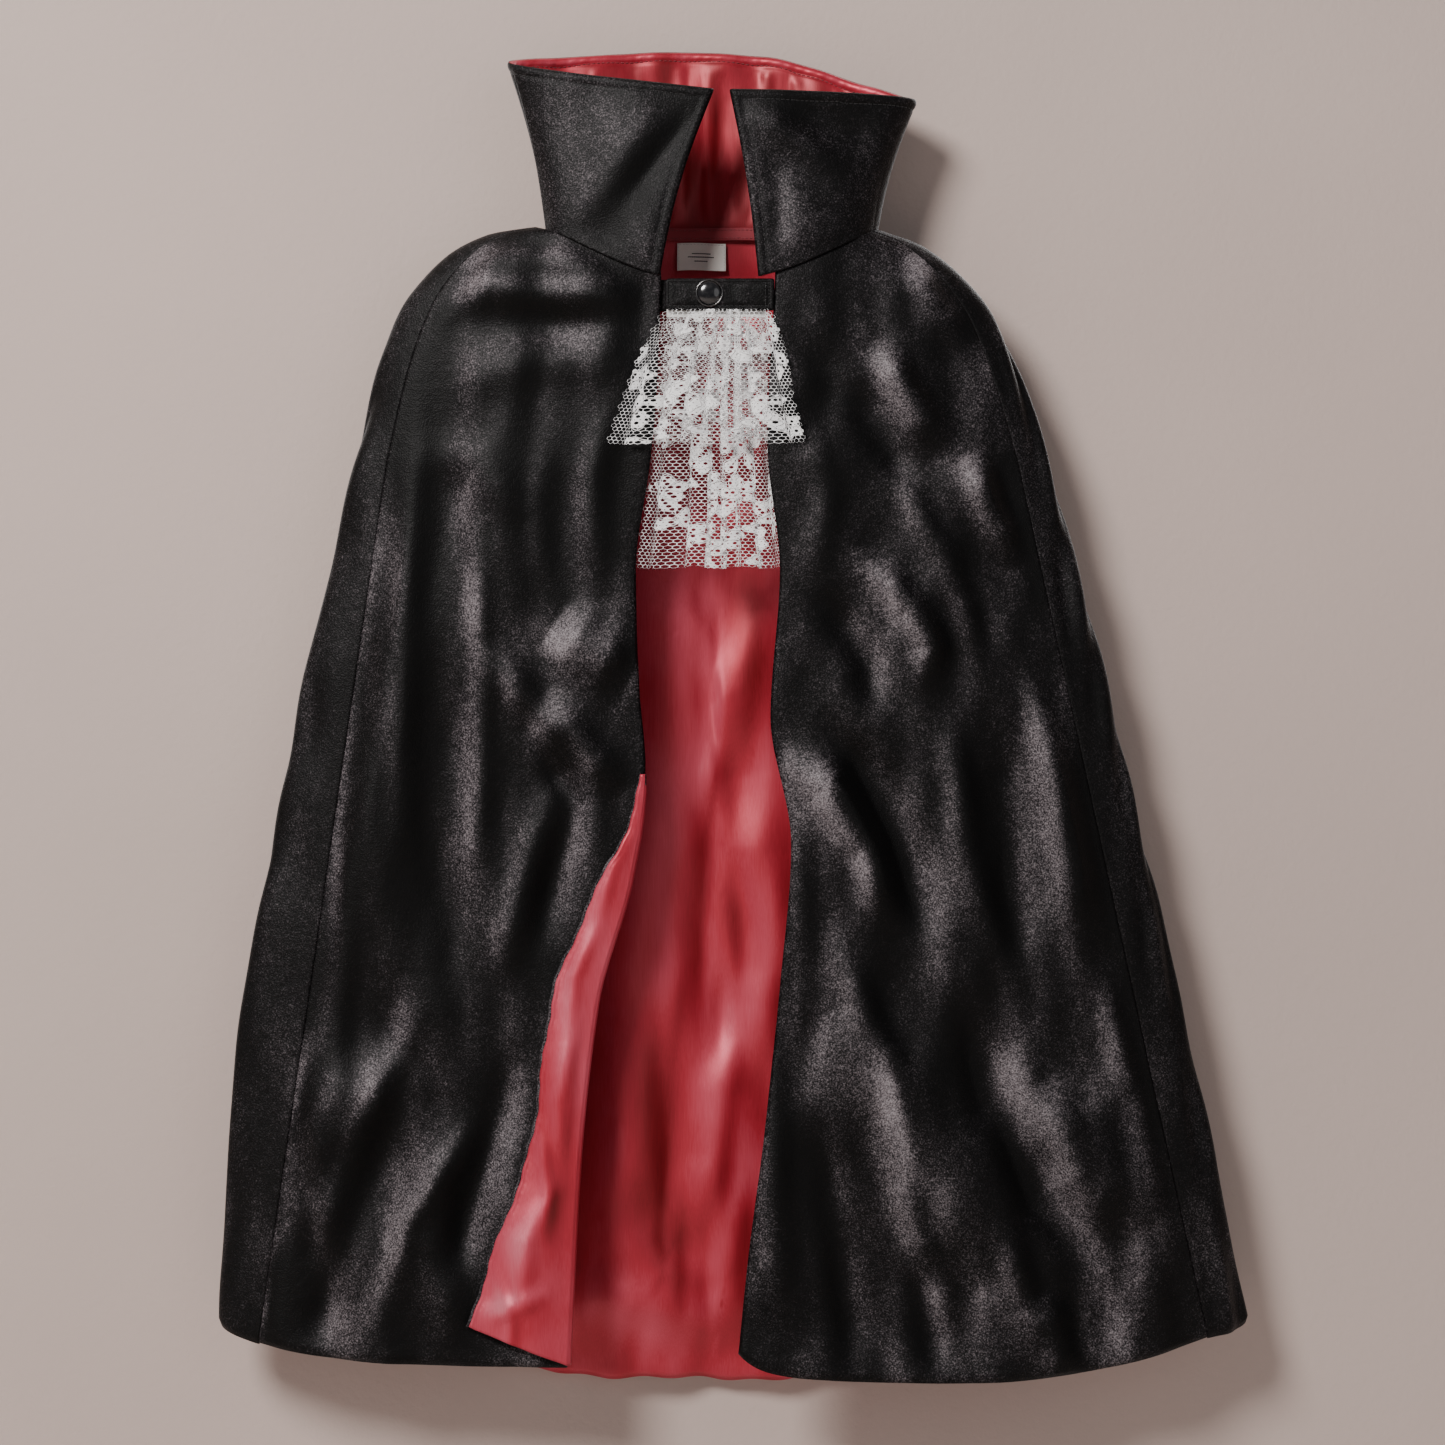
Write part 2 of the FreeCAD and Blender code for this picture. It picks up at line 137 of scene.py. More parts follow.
def seam_x(z, left):
    top = np.where(left, LEFT_SEAM[0], RIGHT_SEAM[0])
    bottom = np.where(left, LEFT_SEAM[1], RIGHT_SEAM[1])
    above = half_width(z, left) * top / half_width(YOKE_Z, left)
    return np.where(z > YOKE_Z, above, mix(top, bottom, (z - YOKE_Z) / (HEM_Z - YOKE_Z)))


def front_depth(z, left):
    low = np.minimum(z, YOKE_Z)
    share = seam_x(low, left) / half_width(low, left)
    depth = SEAM_DEPTH / np.sqrt(1 - share**2)
    near_neck = between(((0, 0.0), (COLLAR_FRONT_Z, 0.5), (YOKE_Z, 1.0)), z)
    at_collar = np.where(near_neck < 0.5, mix(NECK_FRONT_DEPTH, COLLAR_FRONT_DEPTH, near_neck * 2),
                         mix(COLLAR_FRONT_DEPTH, depth, near_neck * 2 - 1))
    return np.where(z > YOKE_Z, at_collar, depth)


def garment(angle, z):
    """Points on the cape. Angle 0 is the right side, 90 the back, 270 the front."""
    across = np.cos(np.radians(angle))
    along = np.sin(np.radians(angle))
    left = across < 0
    depth = np.where(along > 0, between(BACK_DEPTH, z), front_depth(z, left))
    return np.stack((half_width(z, left) * across, depth * along, z + 0 * across), axis=-1)


def angle_at(x, z):
    return 270 + np.degrees(np.arcsin(np.clip(x / half_width(z, x < 0), -1, 1)))


def neck_z(x, front):
    inward = np.sqrt(np.maximum(0.0, 1 - (x / NECK_HALF_WIDTH) ** 2))
    in_front = NECK_SIDE_Z - (NECK_SIDE_Z - COLLAR_FRONT_Z) * inward**2.5
    return np.where(front, in_front, NECK_SIDE_Z - 2 * inward)


def neck_point(angle):
    x = NECK_HALF_WIDTH * np.cos(np.radians(angle))
    front = np.sin(np.radians(angle)) < 0
    z = neck_z(x, front)
    share = np.minimum(1.0, np.abs(x) / half_width(z, x < 0))
    depth = np.where(front, front_depth(z, x < 0), between(BACK_DEPTH, z))
    y = depth * np.sqrt(1 - share**2)
    return np.stack((x, np.where(front, -y, y), z), axis=-1)


def panel_top(angle):
    high = np.full_like(angle, NECK_SIDE_Z, dtype=float)
    low = np.full_like(angle, COLLAR_FRONT_Z - 5, dtype=float)
    front = np.sin(np.radians(angle)) < 0
    for _ in range(30):
        middle = (high + low) / 2
        above = middle > neck_z(garment(angle, middle)[..., 0], front)
        high = np.where(above, middle, high)
        low = np.where(above, low, middle)
    return low


def hem_z(angle):
    along = np.sin(np.radians(angle))
    left = np.cos(np.radians(angle)) < 0
    drop = np.where(along > 0, BACK_HEM_DROP, np.where(left, LEFT_WRAP_DROP, RIGHT_WRAP_DROP))
    return SIDE_HEM_Z - drop * np.abs(along) ** np.where(along > 0, 2.4, 1.2)


def front_hem_z(x, left):
    """Hem of a front panel: flat in its middle, and rounded at the right one's inner corner."""
    low_x, low_z = LEFT_HEM_LOW if left else RIGHT_HEM_LOW
    reach = np.abs(x - low_x) / (LEFT_SIDE[-1][1] + low_x if left else RIGHT_SIDE[-1][1] - low_x)
    if left:
        return low_z + LEFT_HEM_RISE * np.where(x < low_x, reach**4, 0)
    rise = np.where(x > low_x, RIGHT_HEM_RISE, RIGHT_HEM_INWARD_RISE) * reach**2
    corner = np.exp(-np.maximum(x - RIGHT_INNER_EDGE[-1][1], 0) / RIGHT_CORNER_SIZE)
    return low_z + rise + RIGHT_CORNER_RISE * corner


def seam_angle(z, left):
    degrees = np.degrees(np.arccos(seam_x(z, left) / half_width(z, left)))
    return np.where(left, 180 + degrees, 360 - degrees)


# ---------------------------------------------------------------- folds

# Each fold is a line of (x, z) points with its height and half width. A negative height is a
# hollow. They follow how the cape lies: bands across the shoulders, swags that run down from them,
# and long soft columns towards the hem.
LEFT_FOLDS = (
    (((-176, -34), (-146, -20), (-100, -22), (-62, -30)), 2.6, 9),
    (((-186, -56), (-141, -38), (-92, -43), (-60, -44), (-36, -37)), 4.2, 11),
    (((-160, -62), (-100, -62), (-50, -60)), -2.2, 12),
    (((-176, -104), (-110, -84), (-48, -92)), 2.4, 15),
    (((-196, -140), (-150, -150), (-120, -190)), 2.4, 14),
    (((-102, -254), (-78, -270), (-50, -284)), 6.0, 18),
    (((-140, -262), (-118, -310), (-98, -352)), 5.5, 12),
    (((-110, -300), (-80, -334), (-57, -362)), 5.0, 11),
    (((-90, -316), (-90, -368), (-112, -469)), -4.6, 13),
    (((-98, -352), (-121, -426), (-134, -488)), 4.2, 12),
    (((-128, -300), (-105, -340), (-92, -372)), -4.0, 8),
    (((-290, -592), (-240, -566), (-183, -536)), 7.0, 28),
    (((-262, -300), (-256, -420), (-262, -520)), 4.0, 22),
    (((-205, -180), (-214, -330), (-205, -480)), 5.0, 30),
    (((-168, -250), (-172, -400), (-158, -500)), -5.0, 20),
    (((-215, -470), (-205, -560), (-222, -660)), -5.5, 20),
    (((-170, -560), (-176, -650), (-160, -725)), 5.0, 18),
    (((-128, -520), (-146, -600), (-176, -690)), -5.0, 13),
    (((-255, -630), (-250, -690), (-258, -725)), -5.0, 14),
    (((-285, -640), (-290, -715), (-291, -730)), 5.0, 12),
    (((-186, -120), (-196, -260), (-200, -420)), 2.2, 9),
    (((-152, -150), (-146, -300), (-152, -440)), 2.0, 8),
    (((-228, -220), (-236, -400), (-240, -560)), 2.4, 9),
    (((-60, -96), (-76, -160), (-72, -240)), 2.4, 10),
    (((-104, -120), (-112, -180), (-104, -250)), 2.0, 9),
    (((-176, -480), (-226, -580), (-262, -700)), 3.4, 11),
    (((-240, -500), (-286, -590), (-306, -690)), 3.0, 11),
    (((-140, -560), (-196, -640), (-214, -724)), 3.2, 10),
)
RIGHT_FOLDS = (
    (((128, -14), (146, -40), (168, -74)), 5.0, 15),
    (((104, -72), (136, -122), (153, -144)), 5.5, 11),
    (((90, -95), (112, -140), (134, -168)), -4.0, 12),
    (((160, -146), (180, -181), (201, -215)), 5.5, 12),
    (((190, -140), (212, -200), (226, -262)), -4.5, 12),
    (((60, -60), (75, -100), (60, -150)), -3.0, 14),
    (((92, -205), (128, -244), (141, -268), (134, -300)), 5.5, 10),
    (((70, -228), (100, -280), (108, -318)), -4.5, 11),
    (((44, -335), (74, -358), (101, -397), (117, -457)), 7.0, 12),
    (((70, -306), (104, -356), (128, -410), (138, -460)), -7.0, 13),
    (((85, -497), (112, -545), (144, -600), (175, -680)), 8.0, 24),
    (((157, -480), (182, -560), (212, -622), (255, -668)), -7.5, 16),
    (((209, -548), (240, -596), (280, -645)), 6.5, 22),
    (((216, -280), (232, -380), (246, -470)), 5.0, 20),
    (((180, -300), (190, -400), (200, -480)), -4.0, 18),
    (((62, -560), (80, -640), (92, -735)), -5.0, 14),
    (((38, -520), (40, -620), (44, -735)), 4.0, 12),
    (((132, -650), (140, -700), (146, -740)), -4.5, 12),
    (((215, -680), (222, -715), (226, -745)), 5.0, 12),
    (((300, -560), (318, -640), (330, -700)), 4.0, 12),
    (((66, -110), (74, -170), (66, -240)), 2.2, 10),
    (((112, -150), (150, -210), (178, -290)), 2.8, 9),
    (((196, -250), (220, -360), (236, -470)), 2.6, 9),
    (((152, -300), (166, -400), (196, -500)), 2.8, 10),
    (((72, -440), (112, -530), (140, -640)), 3.4, 10),
    (((240, -450), (276, -560), (306, -680)), 3.2, 11),
    (((104, -570), (138, -660), (160, -735)), 3.4, 10),
    (((180, -630), (204, -690), (214, -738)), 3.4, 10),
    (((52, -380), (60, -460), (56, -540)), 2.4, 9),
    (((190, -520), (236, -600), (262, -700)), 3.2, 11),
)
COLLAR_FOLDS = (
    (((-6, 80), (-30, 52), (-62, 10)), -2.2, 8),
    (((-30, 82), (-58, 40), (-84, -2)), 2.2, 11),
    (((18, 78), (48, 60), (86, 34)), 3.0, 9),
    (((44, 84), (80, 66), (116, 52)), -2.6, 14),
    (((46, 40), (62, 4), (92, -14)), 1.6, 13),
    (((36, 54), (44, 20), (42, -20)), -1.4, 7),
)
SATIN_FOLDS = (
    (((-40, -222), (-16, -252), (10, -300), (22, -352)), 4.0, 15),
    (((40, -226), (26, -270), (8, -330), (-22, -392)), 3.4, 15),
    (((-44, -330), (-26, -392), (-22, -470), (-34, -540)), 3.6, 15),
    (((46, -320), (36, -400), (42, -480), (36, -560)), 3.6, 14),
    (((6, -340), (14, -400), (8, -470), (-8, -520)), 3.0, 13),
    (((26, -500), (6, -560), (2, -604), (-20, -664)), 5.0, 16),
    (((-58, -500), (-50, -580), (-60, -660)), 3.0, 16),
    (((-84, -676), (-44, -700), (4, -716), (30, -716)), 5.5, 17),
    (((-70, -640), (-36, -676), (2, -690)), 3.0, 13),
    (((24, -600), (10, -680), (14, -735)), 3.5, 13),
    (((-100, -650), (-92, -700), (-80, -735)), 3.0, 12),
    (((-40, -176), (10, -190), (44, -176)), 2.4, 16),
    (((-120, -300), (-130, -500), (-150, -700)), 4.0, 20),
    (((120, -300), (140, -500), (170, -700)), 4.0, 20),
    (((190, -350), (230, -550), (260, -700)), 4.0, 18),
    (((-190, -350), (-220, -550), (-250, -700)), 4.0, 18),
)
BACK_FOLDS = (
    (((-60, -40), (-90, -260), (-120, -735)), 4.5, 26),
    (((20, -60), (10, -300), (-10, -740)), 5.0, 30),
    (((95, -50), (130, -300), (160, -735)), 4.5, 26),
    (((-150, -80), (-190, -320), (-225, -720)), 4.5, 24),
    (((170, -90), (215, -330), (262, -715)), 4.5, 24),
    (((-20, -200), (-50, -450), (-60, -740)), -4.0, 20),
    (((60, -180), (80, -450), (84, -740)), -4.0, 20),
    (((-120, -60), (-60, -26), (40, -30), (120, -64)), 2.5, 12),
    (((-130, -110), (-40, -84), (60, -90), (140, -118)), -2.5, 14),
)
TURNBACK_FOLDS = (
    (((-52, -372), (-64, -410), (-74, -450)), 1.6, 5),
    (((-70, -440), (-88, -480), (-92, -520)), 1.8, 5),
    (((-86, -500), (-98, -560), (-96, -610)), 2.2, 6),
    (((-112, -560), (-104, -620), (-108, -660)), 1.8, 5),
    (((-94, -600), (-118, -650), (-124, -700)), 2.6, 7),
    (((-100, -680), (-126, -690), (-150, -700)), 2.4, 7),
    (((-140, -660), (-128, -700), (-130, -735)), 2.0, 5),
)


def fold_height(lines, x, z):
    """Sum of the folds' heights at points across the cape. Each fold fades out at both ends."""
    total = np.zeros_like(x)
    for points, height, width in lines:
        lengths = [math.dist(one, other) for one, other in zip(points, points[1:])]
        whole = sum(lengths)
        nearest = np.full_like(x, 1e9)
        place = np.zeros_like(x)
        done = 0.0
        for (x0, z0), (x1, z1), length in zip(points, points[1:], lengths):
            t = ((x - x0) * (x1 - x0) + (z - z0) * (z1 - z0)) / length**2
            t = np.clip(t, 0, 1)
            gap = (x - mix(x0, x1, t)) ** 2 + (z - mix(z0, z1, t)) ** 2
            closer = gap < nearest
            nearest = np.where(closer, gap, nearest)
            place = np.where(closer, (done + t * length) / whole, place)
            done += length
        fade = ease(place, -0.04, 0.34) * (1 - ease(place, 0.66, 1.04))
        total += 1.15 * height * fade * np.exp(-nearest / width**2)
    return total


def ripples(seed, x, z, size_x, size_z, waves=14):
    """Smooth uneven surface from a few crossing waves, between about -1 and 1."""
    dice = random.Random(seed)
    total = np.zeros_like(x)
    for _ in range(waves):
        turn = dice.uniform(-0.5, 0.5)
        pace = dice.uniform(0.6, 1.7)
        along_x = math.cos(turn) * pace / size_x
        along_z = math.sin(turn) * pace / size_z + dice.uniform(-0.7, 0.7) / size_z
        total += np.sin(2 * math.pi * (x * along_x + z * along_z) + dice.uniform(0, 6.3))
    return total / math.sqrt(waves)


# ---------------------------------------------------------------- meshes from grids


def normals(grid):
    """Unit normals of a grid of points, from the first axis crossed with the second."""
    crossed = np.cross(np.gradient(grid, axis=0), np.gradient(grid, axis=1))
    return crossed / np.maximum(np.linalg.norm(crossed, axis=-1, keepdims=True), 1e-9)


def run_length(grid, axis):
    """Distance along each grid line from its start, and from its end."""
    step = np.linalg.norm(np.diff(grid, axis=axis), axis=-1)
    pad = [(0, 0), (0, 0)]
    pad[axis] = (1, 0)
    from_start = np.pad(np.cumsum(step, axis=axis), pad)
    total = np.take(from_start, [-1], axis=axis)
    return from_start, total - from_start


def edge_roll(distance, radius):
    """How far a cloth's surface drops away in its last radius before a turned edge."""
    inside = np.clip(radius - distance, 0, radius)
    return radius - np.sqrt(np.maximum(radius**2 - inside**2, 0))


# Neutral level of the painted light map, where nothing paints the cloth lighter or darker.
NEUTRAL_PAINTED_LIGHT = 0.36


def add_object(name, points, faces, material, smooth=True):
    mesh = bpy.data.meshes.new(name)
    mesh.from_pydata((np.asarray(points) * MM).tolist(), [], faces)
    mesh.materials.append(material)
    if smooth:
        mesh.polygons.foreach_set("use_smooth", [True] * len(mesh.polygons))
    mesh.validate()
    mesh.update()
    piece = bpy.data.objects.new(name, mesh)
    bpy.context.scene.collection.objects.link(piece)
    return piece


def sheet_piece(name, grid, thickness, material, tone_and_painted_light=None):
    """A cloth sheet of even thickness about a grid of points, with its edges closed.

    The optional map gives each grid point's lightness, from 0 to 1: painted light and shade, with some
    random tone.
    """
    count_u, count_v = grid.shape[:2]
    lift = normals(grid) * thickness / 2
    points = np.concatenate(((grid + lift).reshape(-1, 3), (grid - lift).reshape(-1, 3)))
    back = count_u * count_v
    faces = []

    def at(i, j):
        return i * count_v + j

    for i in range(count_u - 1):
        for j in range(count_v - 1):
            ring = (at(i, j), at(i + 1, j), at(i + 1, j + 1), at(i, j + 1))
            faces.append(ring)
            faces.append(tuple(back + k for k in reversed(ring)))
    rim = [at(i, 0) for i in range(count_u)]
    rim += [at(count_u - 1, j) for j in range(1, count_v)]
    rim += [at(i, count_v - 1) for i in range(count_u - 2, -1, -1)]
    rim += [at(0, j) for j in range(count_v - 2, 0, -1)]
    for one, other in zip(rim, rim[1:] + rim[:1]):
        faces.append((other, one, back + one, back + other))
    piece = add_object(name, points, faces, material)
    if tone_and_painted_light is None:
        tone_and_painted_light = np.full((count_u, count_v), NEUTRAL_PAINTED_LIGHT)
    # The painted light and shade map, with its random tone, is stored on the mesh for the materials to
    # read.
    local_tone_and_painted_light = piece.data.attributes.new("tone_and_painted_light", "FLOAT", "POINT")
    local_tone_and_painted_light.data.foreach_set("value", np.tile(np.clip(tone_and_painted_light, 0, 1).ravel(), 2).astype(np.float32))
    return piece


def dress(piece, body, slot, *nodes, **cloth):
    """Ties a piece to its body and hides the CAD nodes it stands for."""
    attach(piece, body)
    if nodes:
        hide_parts(*nodes)


def mm_box(node):
    """Low and high corners of a CAD node, in millimetres."""
    return [[v / MM for v in corner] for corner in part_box(node)]


def painted_light_from_slopes(height, x, z, gain, patches=(), base=NEUTRAL_PAINTED_LIGHT):
    """Painted light: lighter on slopes facing the key light at the upper left and darker on the others,
    plus painted highlight and painted shade patches.
    """
    across = height(x + 0.6, z) - height(x - 0.6, z)
    up = height(x, z + 0.6) - height(x, z - 0.6)
    slope = (0.8 * across - 0.6 * up) / 1.2
    local_tone_and_painted_light = base + 0.45 * np.tanh(gain * slope / 0.45)
    for cx, cz, wide, tall, lean, strength in patches:
        along = (x - cx) * math.cos(lean) + (z - cz) * math.sin(lean)
        out = -(x - cx) * math.sin(lean) + (z - cz) * math.cos(lean)
        local_tone_and_painted_light = local_tone_and_painted_light + strength * np.exp(-((along / wide) ** 2) - (out / tall) ** 2)
    return local_tone_and_painted_light


def tube_mesh(points, normal, radius, sides, closed):
    """Points and faces of a thin round cord along a line of points."""
    points = np.asarray(points, dtype=float)
    count = len(points)
    if closed:
        ahead = np.roll(points, -1, axis=0) - np.roll(points, 1, axis=0)
    else:
        ahead = np.gradient(points, axis=0)
    ahead /= np.maximum(np.linalg.norm(ahead, axis=1, keepdims=True), 1e-9)
    side = np.cross(ahead, normal)
    side /= np.maximum(np.linalg.norm(side, axis=1, keepdims=True), 1e-9)
    up = np.cross(side, ahead)
    rings = []
    for k in range(sides):
        turn = 2 * math.pi * k / sides
        rings.append(points + radius * (math.cos(turn) * side + math.sin(turn) * up))
    verts = np.stack(rings, axis=1).reshape(-1, 3)
    faces = []
    for i in range(count if closed else count - 1):
        j = (i + 1) % count
        for k in range(sides):
            n = (k + 1) % sides
            faces.append((i * sides + k, i * sides + n, j * sides + n, j * sides + k))
    if not closed:
        faces.append(tuple(reversed(range(sides))))
        faces.append(tuple((count - 1) * sides + k for k in range(sides)))
    return verts, faces


class Bundle:
    """Many small meshes gathered into one piece."""

    def __init__(self):
        self.points = []
        self.faces = []
        self.count = 0

    def add(self, points, faces):
        self.points.append(np.asarray(points, dtype=float))
        self.faces += [tuple(k + self.count for k in face) for face in faces]
        self.count += len(points)

    def piece(self, name, material):
        return add_object(name, np.concatenate(self.points), self.faces, material)


def stitch_line(bundle, path, normal, length=2.2, gap=0.9, radius=0.28, rise=0.15):
    """A row of short sewn stitches along a line of points on a surface."""
    path = np.asarray(path, dtype=float)
    normal = np.asarray(normal, dtype=float)
    steps = np.linalg.norm(np.diff(path, axis=0), axis=1)
    run = np.concatenate(([0], np.cumsum(steps)))
    start = gap / 2
    while start + length < run[-1]:
        stops = start + length * np.array((0.0, 0.25, 0.5, 0.75, 1.0))
        arch = np.array((-0.25, 0.1, 0.2, 0.1, -0.25)) + rise
        points = np.stack([np.interp(stops, run, path[:, k]) for k in range(3)], axis=1)
        ways = np.stack([np.interp(stops, run, normal[:, k]) for k in range(3)], axis=1)
        verts, faces = tube_mesh(points + ways * arch[:, None], ways, radius, 5, False)
        bundle.add(verts, faces)
        start += length + gap


def turned_piece(name, profile, centre, material, segments=64):
    """A round piece about an axis along Y, from (radius, y) points with the first and last on it."""
    verts = []
    faces = []
    for radius, y in profile:
        for k in range(segments):
            turn = 2 * math.pi * k / segments
            verts.append((centre[0] + radius * math.cos(turn), y, centre[1] + radius * math.sin(turn)))
    for i in range(len(profile) - 1):
        for k in range(segments):
            n = (k + 1) % segments
            faces.append((i * segments + k, i * segments + n,
                          (i + 1) * segments + n, (i + 1) * segments + k))
    if profile[0][0] > 0 and profile[0] == profile[-1]:
        return add_object(name, verts, faces, material)
    faces.append(tuple(reversed(range(segments))))
    faces.append(tuple((len(profile) - 1) * segments + k for k in range(segments)))
    return add_object(name, verts, faces, material)


# ---------------------------------------------------------------- materials


class Shader:
    """A Principled material with small helpers for its procedural nodes."""

    def __init__(self, name, colour, roughness, **values):
        self.material = bpy.data.materials.new(name)
        self.material.use_nodes = True
        self.tree = self.material.node_tree
        self.surface = self.tree.nodes["Principled BSDF"]
        self.set("Base Color", (*colour, 1.0))
        self.set("Roughness", roughness)
        for key, value in values.items():
            self.set(key.replace("_", " "), value)
        self.place = self.tree.nodes.new("ShaderNodeTexCoord").outputs["Object"]

    def set(self, socket, value):
        self.surface.inputs[socket].default_value = value

    def link(self, output, node, socket):
        self.tree.links.new(output, node.inputs[socket])

    def noise(self, scale, detail=2.0, roughness=0.5, stretch=(1, 1, 1)):
        place = self.place
        if stretch != (1, 1, 1):
            mapping = self.tree.nodes.new("ShaderNodeMapping")
            mapping.inputs["Scale"].default_value = stretch
            self.link(place, mapping, "Vector")
            place = mapping.outputs["Vector"]
        node = self.tree.nodes.new("ShaderNodeTexNoise")
        node.inputs["Scale"].default_value = scale
        node.inputs["Detail"].default_value = detail
        node.inputs["Roughness"].default_value = roughness
        self.link(place, node, "Vector")
        return node.outputs["Fac"]

    def waves(self, scale, direction, distortion=0.5):
        node = self.tree.nodes.new("ShaderNodeTexWave")
        node.bands_direction = direction
        node.inputs["Scale"].default_value = scale
        node.inputs["Distortion"].default_value = distortion
        node.inputs["Detail Scale"].default_value = 3.0
        self.link(self.place, node, "Vector")
        return node.outputs["Fac"]

    # Reads the mesh's painted light and shade map.
    def tone_and_painted_light(self):
        node = self.tree.nodes.new("ShaderNodeAttribute")
        node.attribute_name = "tone_and_painted_light"
        return node.outputs["Fac"]

    def weighted(self, *parts):
        """Sum of outputs, each times its weight."""
        total = None
        for output, weight in parts:
            term = self.math("MULTIPLY", output, weight)
            total = term if total is None else self.math("ADD", total, term)
        return total

    def math(self, operation, first, second):
        node = self.tree.nodes.new("ShaderNodeMath")
        node.operation = operation
        for index, value in enumerate((first, second)):
            if isinstance(value, (int, float)):
                node.inputs[index].default_value = value
            else:
                self.tree.links.new(value, node.inputs[index])
        return node.outputs[0]

    def ramp(self, value, *stops):
        node = self.tree.nodes.new("ShaderNodeValToRGB")
        while len(node.color_ramp.elements) < len(stops):
            node.color_ramp.elements.new(0.5)
        for element, (position, colour) in zip(node.color_ramp.elements, stops):
            element.position = position
            element.color = (*colour, 1.0)
        self.link(value, node, "Fac")
        return node.outputs["Color"]

    def colour(self, output):
        self.link(output, self.surface, "Base Color")

    def rough(self, value, low, high):
        node = self.tree.nodes.new("ShaderNodeMapRange")
        node.inputs["To Min"].default_value = low
        node.inputs["To Max"].default_value = high
        self.link(value, node, "Value")
        self.link(node.outputs["Result"], self.surface, "Roughness")

    def bump(self, *layers):
        """Each layer is a height output with its strength and depth in metres."""
        normal = None
        for height, strength, depth in layers:
            node = self.tree.nodes.new("ShaderNodeBump")
            node.inputs["Strength"].default_value = strength
            node.inputs["Distance"].default_value = depth
            self.link(height, node, "Height")
            if normal is not None:
                self.link(normal, node, "Normal")
            normal = node.outputs["Normal"]
        self.link(normal, self.surface, "Normal")


def velvet_material(name="velvet"):
    """Black velvet: near black, and grey where the mesh's painted light map paints light on slopes towards
    the key light and in highlight patches, with random pile tone, mottle and grain.
    """
    made = Shader(name, (0.006, 0.0055, 0.006), 0.5, Specular_IOR_Level=0.16, Sheen_Weight=0.05,
                  Sheen_Roughness=0.3, Sheen_Tint=(0.66, 0.56, 0.62, 1))
    grain = made.noise(1000, 1.0, 0.5)
    mottle = made.noise(170, 4.0, 0.62)
    local_tone_and_painted_light = made.noise(1.0, 3.0, 0.55, stretch=(24, 24, 13))
    # Colour from the painted light and shade in the mesh map, with random pile tone, mottle and grain.
    shade = made.weighted((made.tone_and_painted_light(), 0.42), (local_tone_and_painted_light, 0.24), (mottle, 0.16), (grain, 0.48))
    made.colour(made.ramp(shade, (0.515, (0.0010, 0.0009, 0.0010)), (0.615, (0.006, 0.0052, 0.0058)),
                          (0.695, (0.032, 0.028, 0.031)), (0.78, (0.12, 0.104, 0.112)),
                          (0.92, (0.30, 0.27, 0.285))))
    made.rough(shade, 0.62, 0.42)
    made.bump((mottle, 0.35, 0.0012), (grain, 0.6, 0.0006))
    return made.material


def satin_material(name="satin", base=(0.45, 0.022, 0.043)):
    """Crimson satin with fine warp streaks; its colour is painted dark where folds turn from the key light
    and pink where they catch it, from the mesh's painted light map and a random tone.
    """
    made = Shader(name, base, 0.38, Metallic=0.3, Specular_IOR_Level=0.5, Sheen_Weight=0.15,
                  Sheen_Roughness=0.35, Sheen_Tint=(1.0, 0.62, 0.68, 1))
    streak = made.noise(1.0, 3.0, 0.6, stretch=(1700, 1700, 55))
    slub = made.noise(1.0, 2.0, 0.5, stretch=(300, 300, 1500))
    tone = made.noise(1.0, 3.0, 0.5, stretch=(20, 20, 11))
    # Painted shade and painted highlight from the mesh map, with random tone and streaks, set the satin's
    # colour from dark red to pink.
    shade = made.weighted((made.tone_and_painted_light(), 0.62), (tone, 0.30), (streak, 0.16))
    made.colour(made.ramp(shade, (0.20, (0.10, 0.0022, 0.0035)), (0.36, (0.25, 0.0085, 0.016)),
                          (0.52, base), (0.68, (0.60, 0.075, 0.118)), (0.85, (0.76, 0.20, 0.26))))
    made.rough(streak, 0.36, 0.5)
    crease = made.noise(30, 2.0, 0.5, stretch=(1.4, 1.4, 0.7))
    made.bump((crease, 0.12, 0.004), (streak, 0.25, 0.00012), (slub, 0.12, 0.00008))
    return made.material


def lace_material():
    made = Shader("lace_thread", (0.86, 0.86, 0.87), 0.72, Sheen_Weight=0.3, Sheen_Roughness=0.5)
    twist = made.noise(2600, 2.0, 0.6)
    tone = made.noise(90, 3.0, 0.5)
    made.colour(made.ramp(tone, (0.35, (0.86, 0.86, 0.88)), (0.6, (0.98, 0.98, 0.985))))
    made.rough(twist, 0.6, 0.85)
    made.bump((twist, 0.5, 0.00015))
    return made.material


def thread_material(name, colour):
    made = Shader(name, colour, 0.6, Sheen_Weight=0.3, Sheen_Roughness=0.4)
    twist = made.waves(900, "DIAGONAL", 1.0)
    dark = tuple(0.6 * c for c in colour)
    made.colour(made.ramp(twist, (0.2, dark), (0.7, colour)))
    made.rough(twist, 0.5, 0.75)
    made.bump((twist, 0.4, 0.0001))
    return made.material


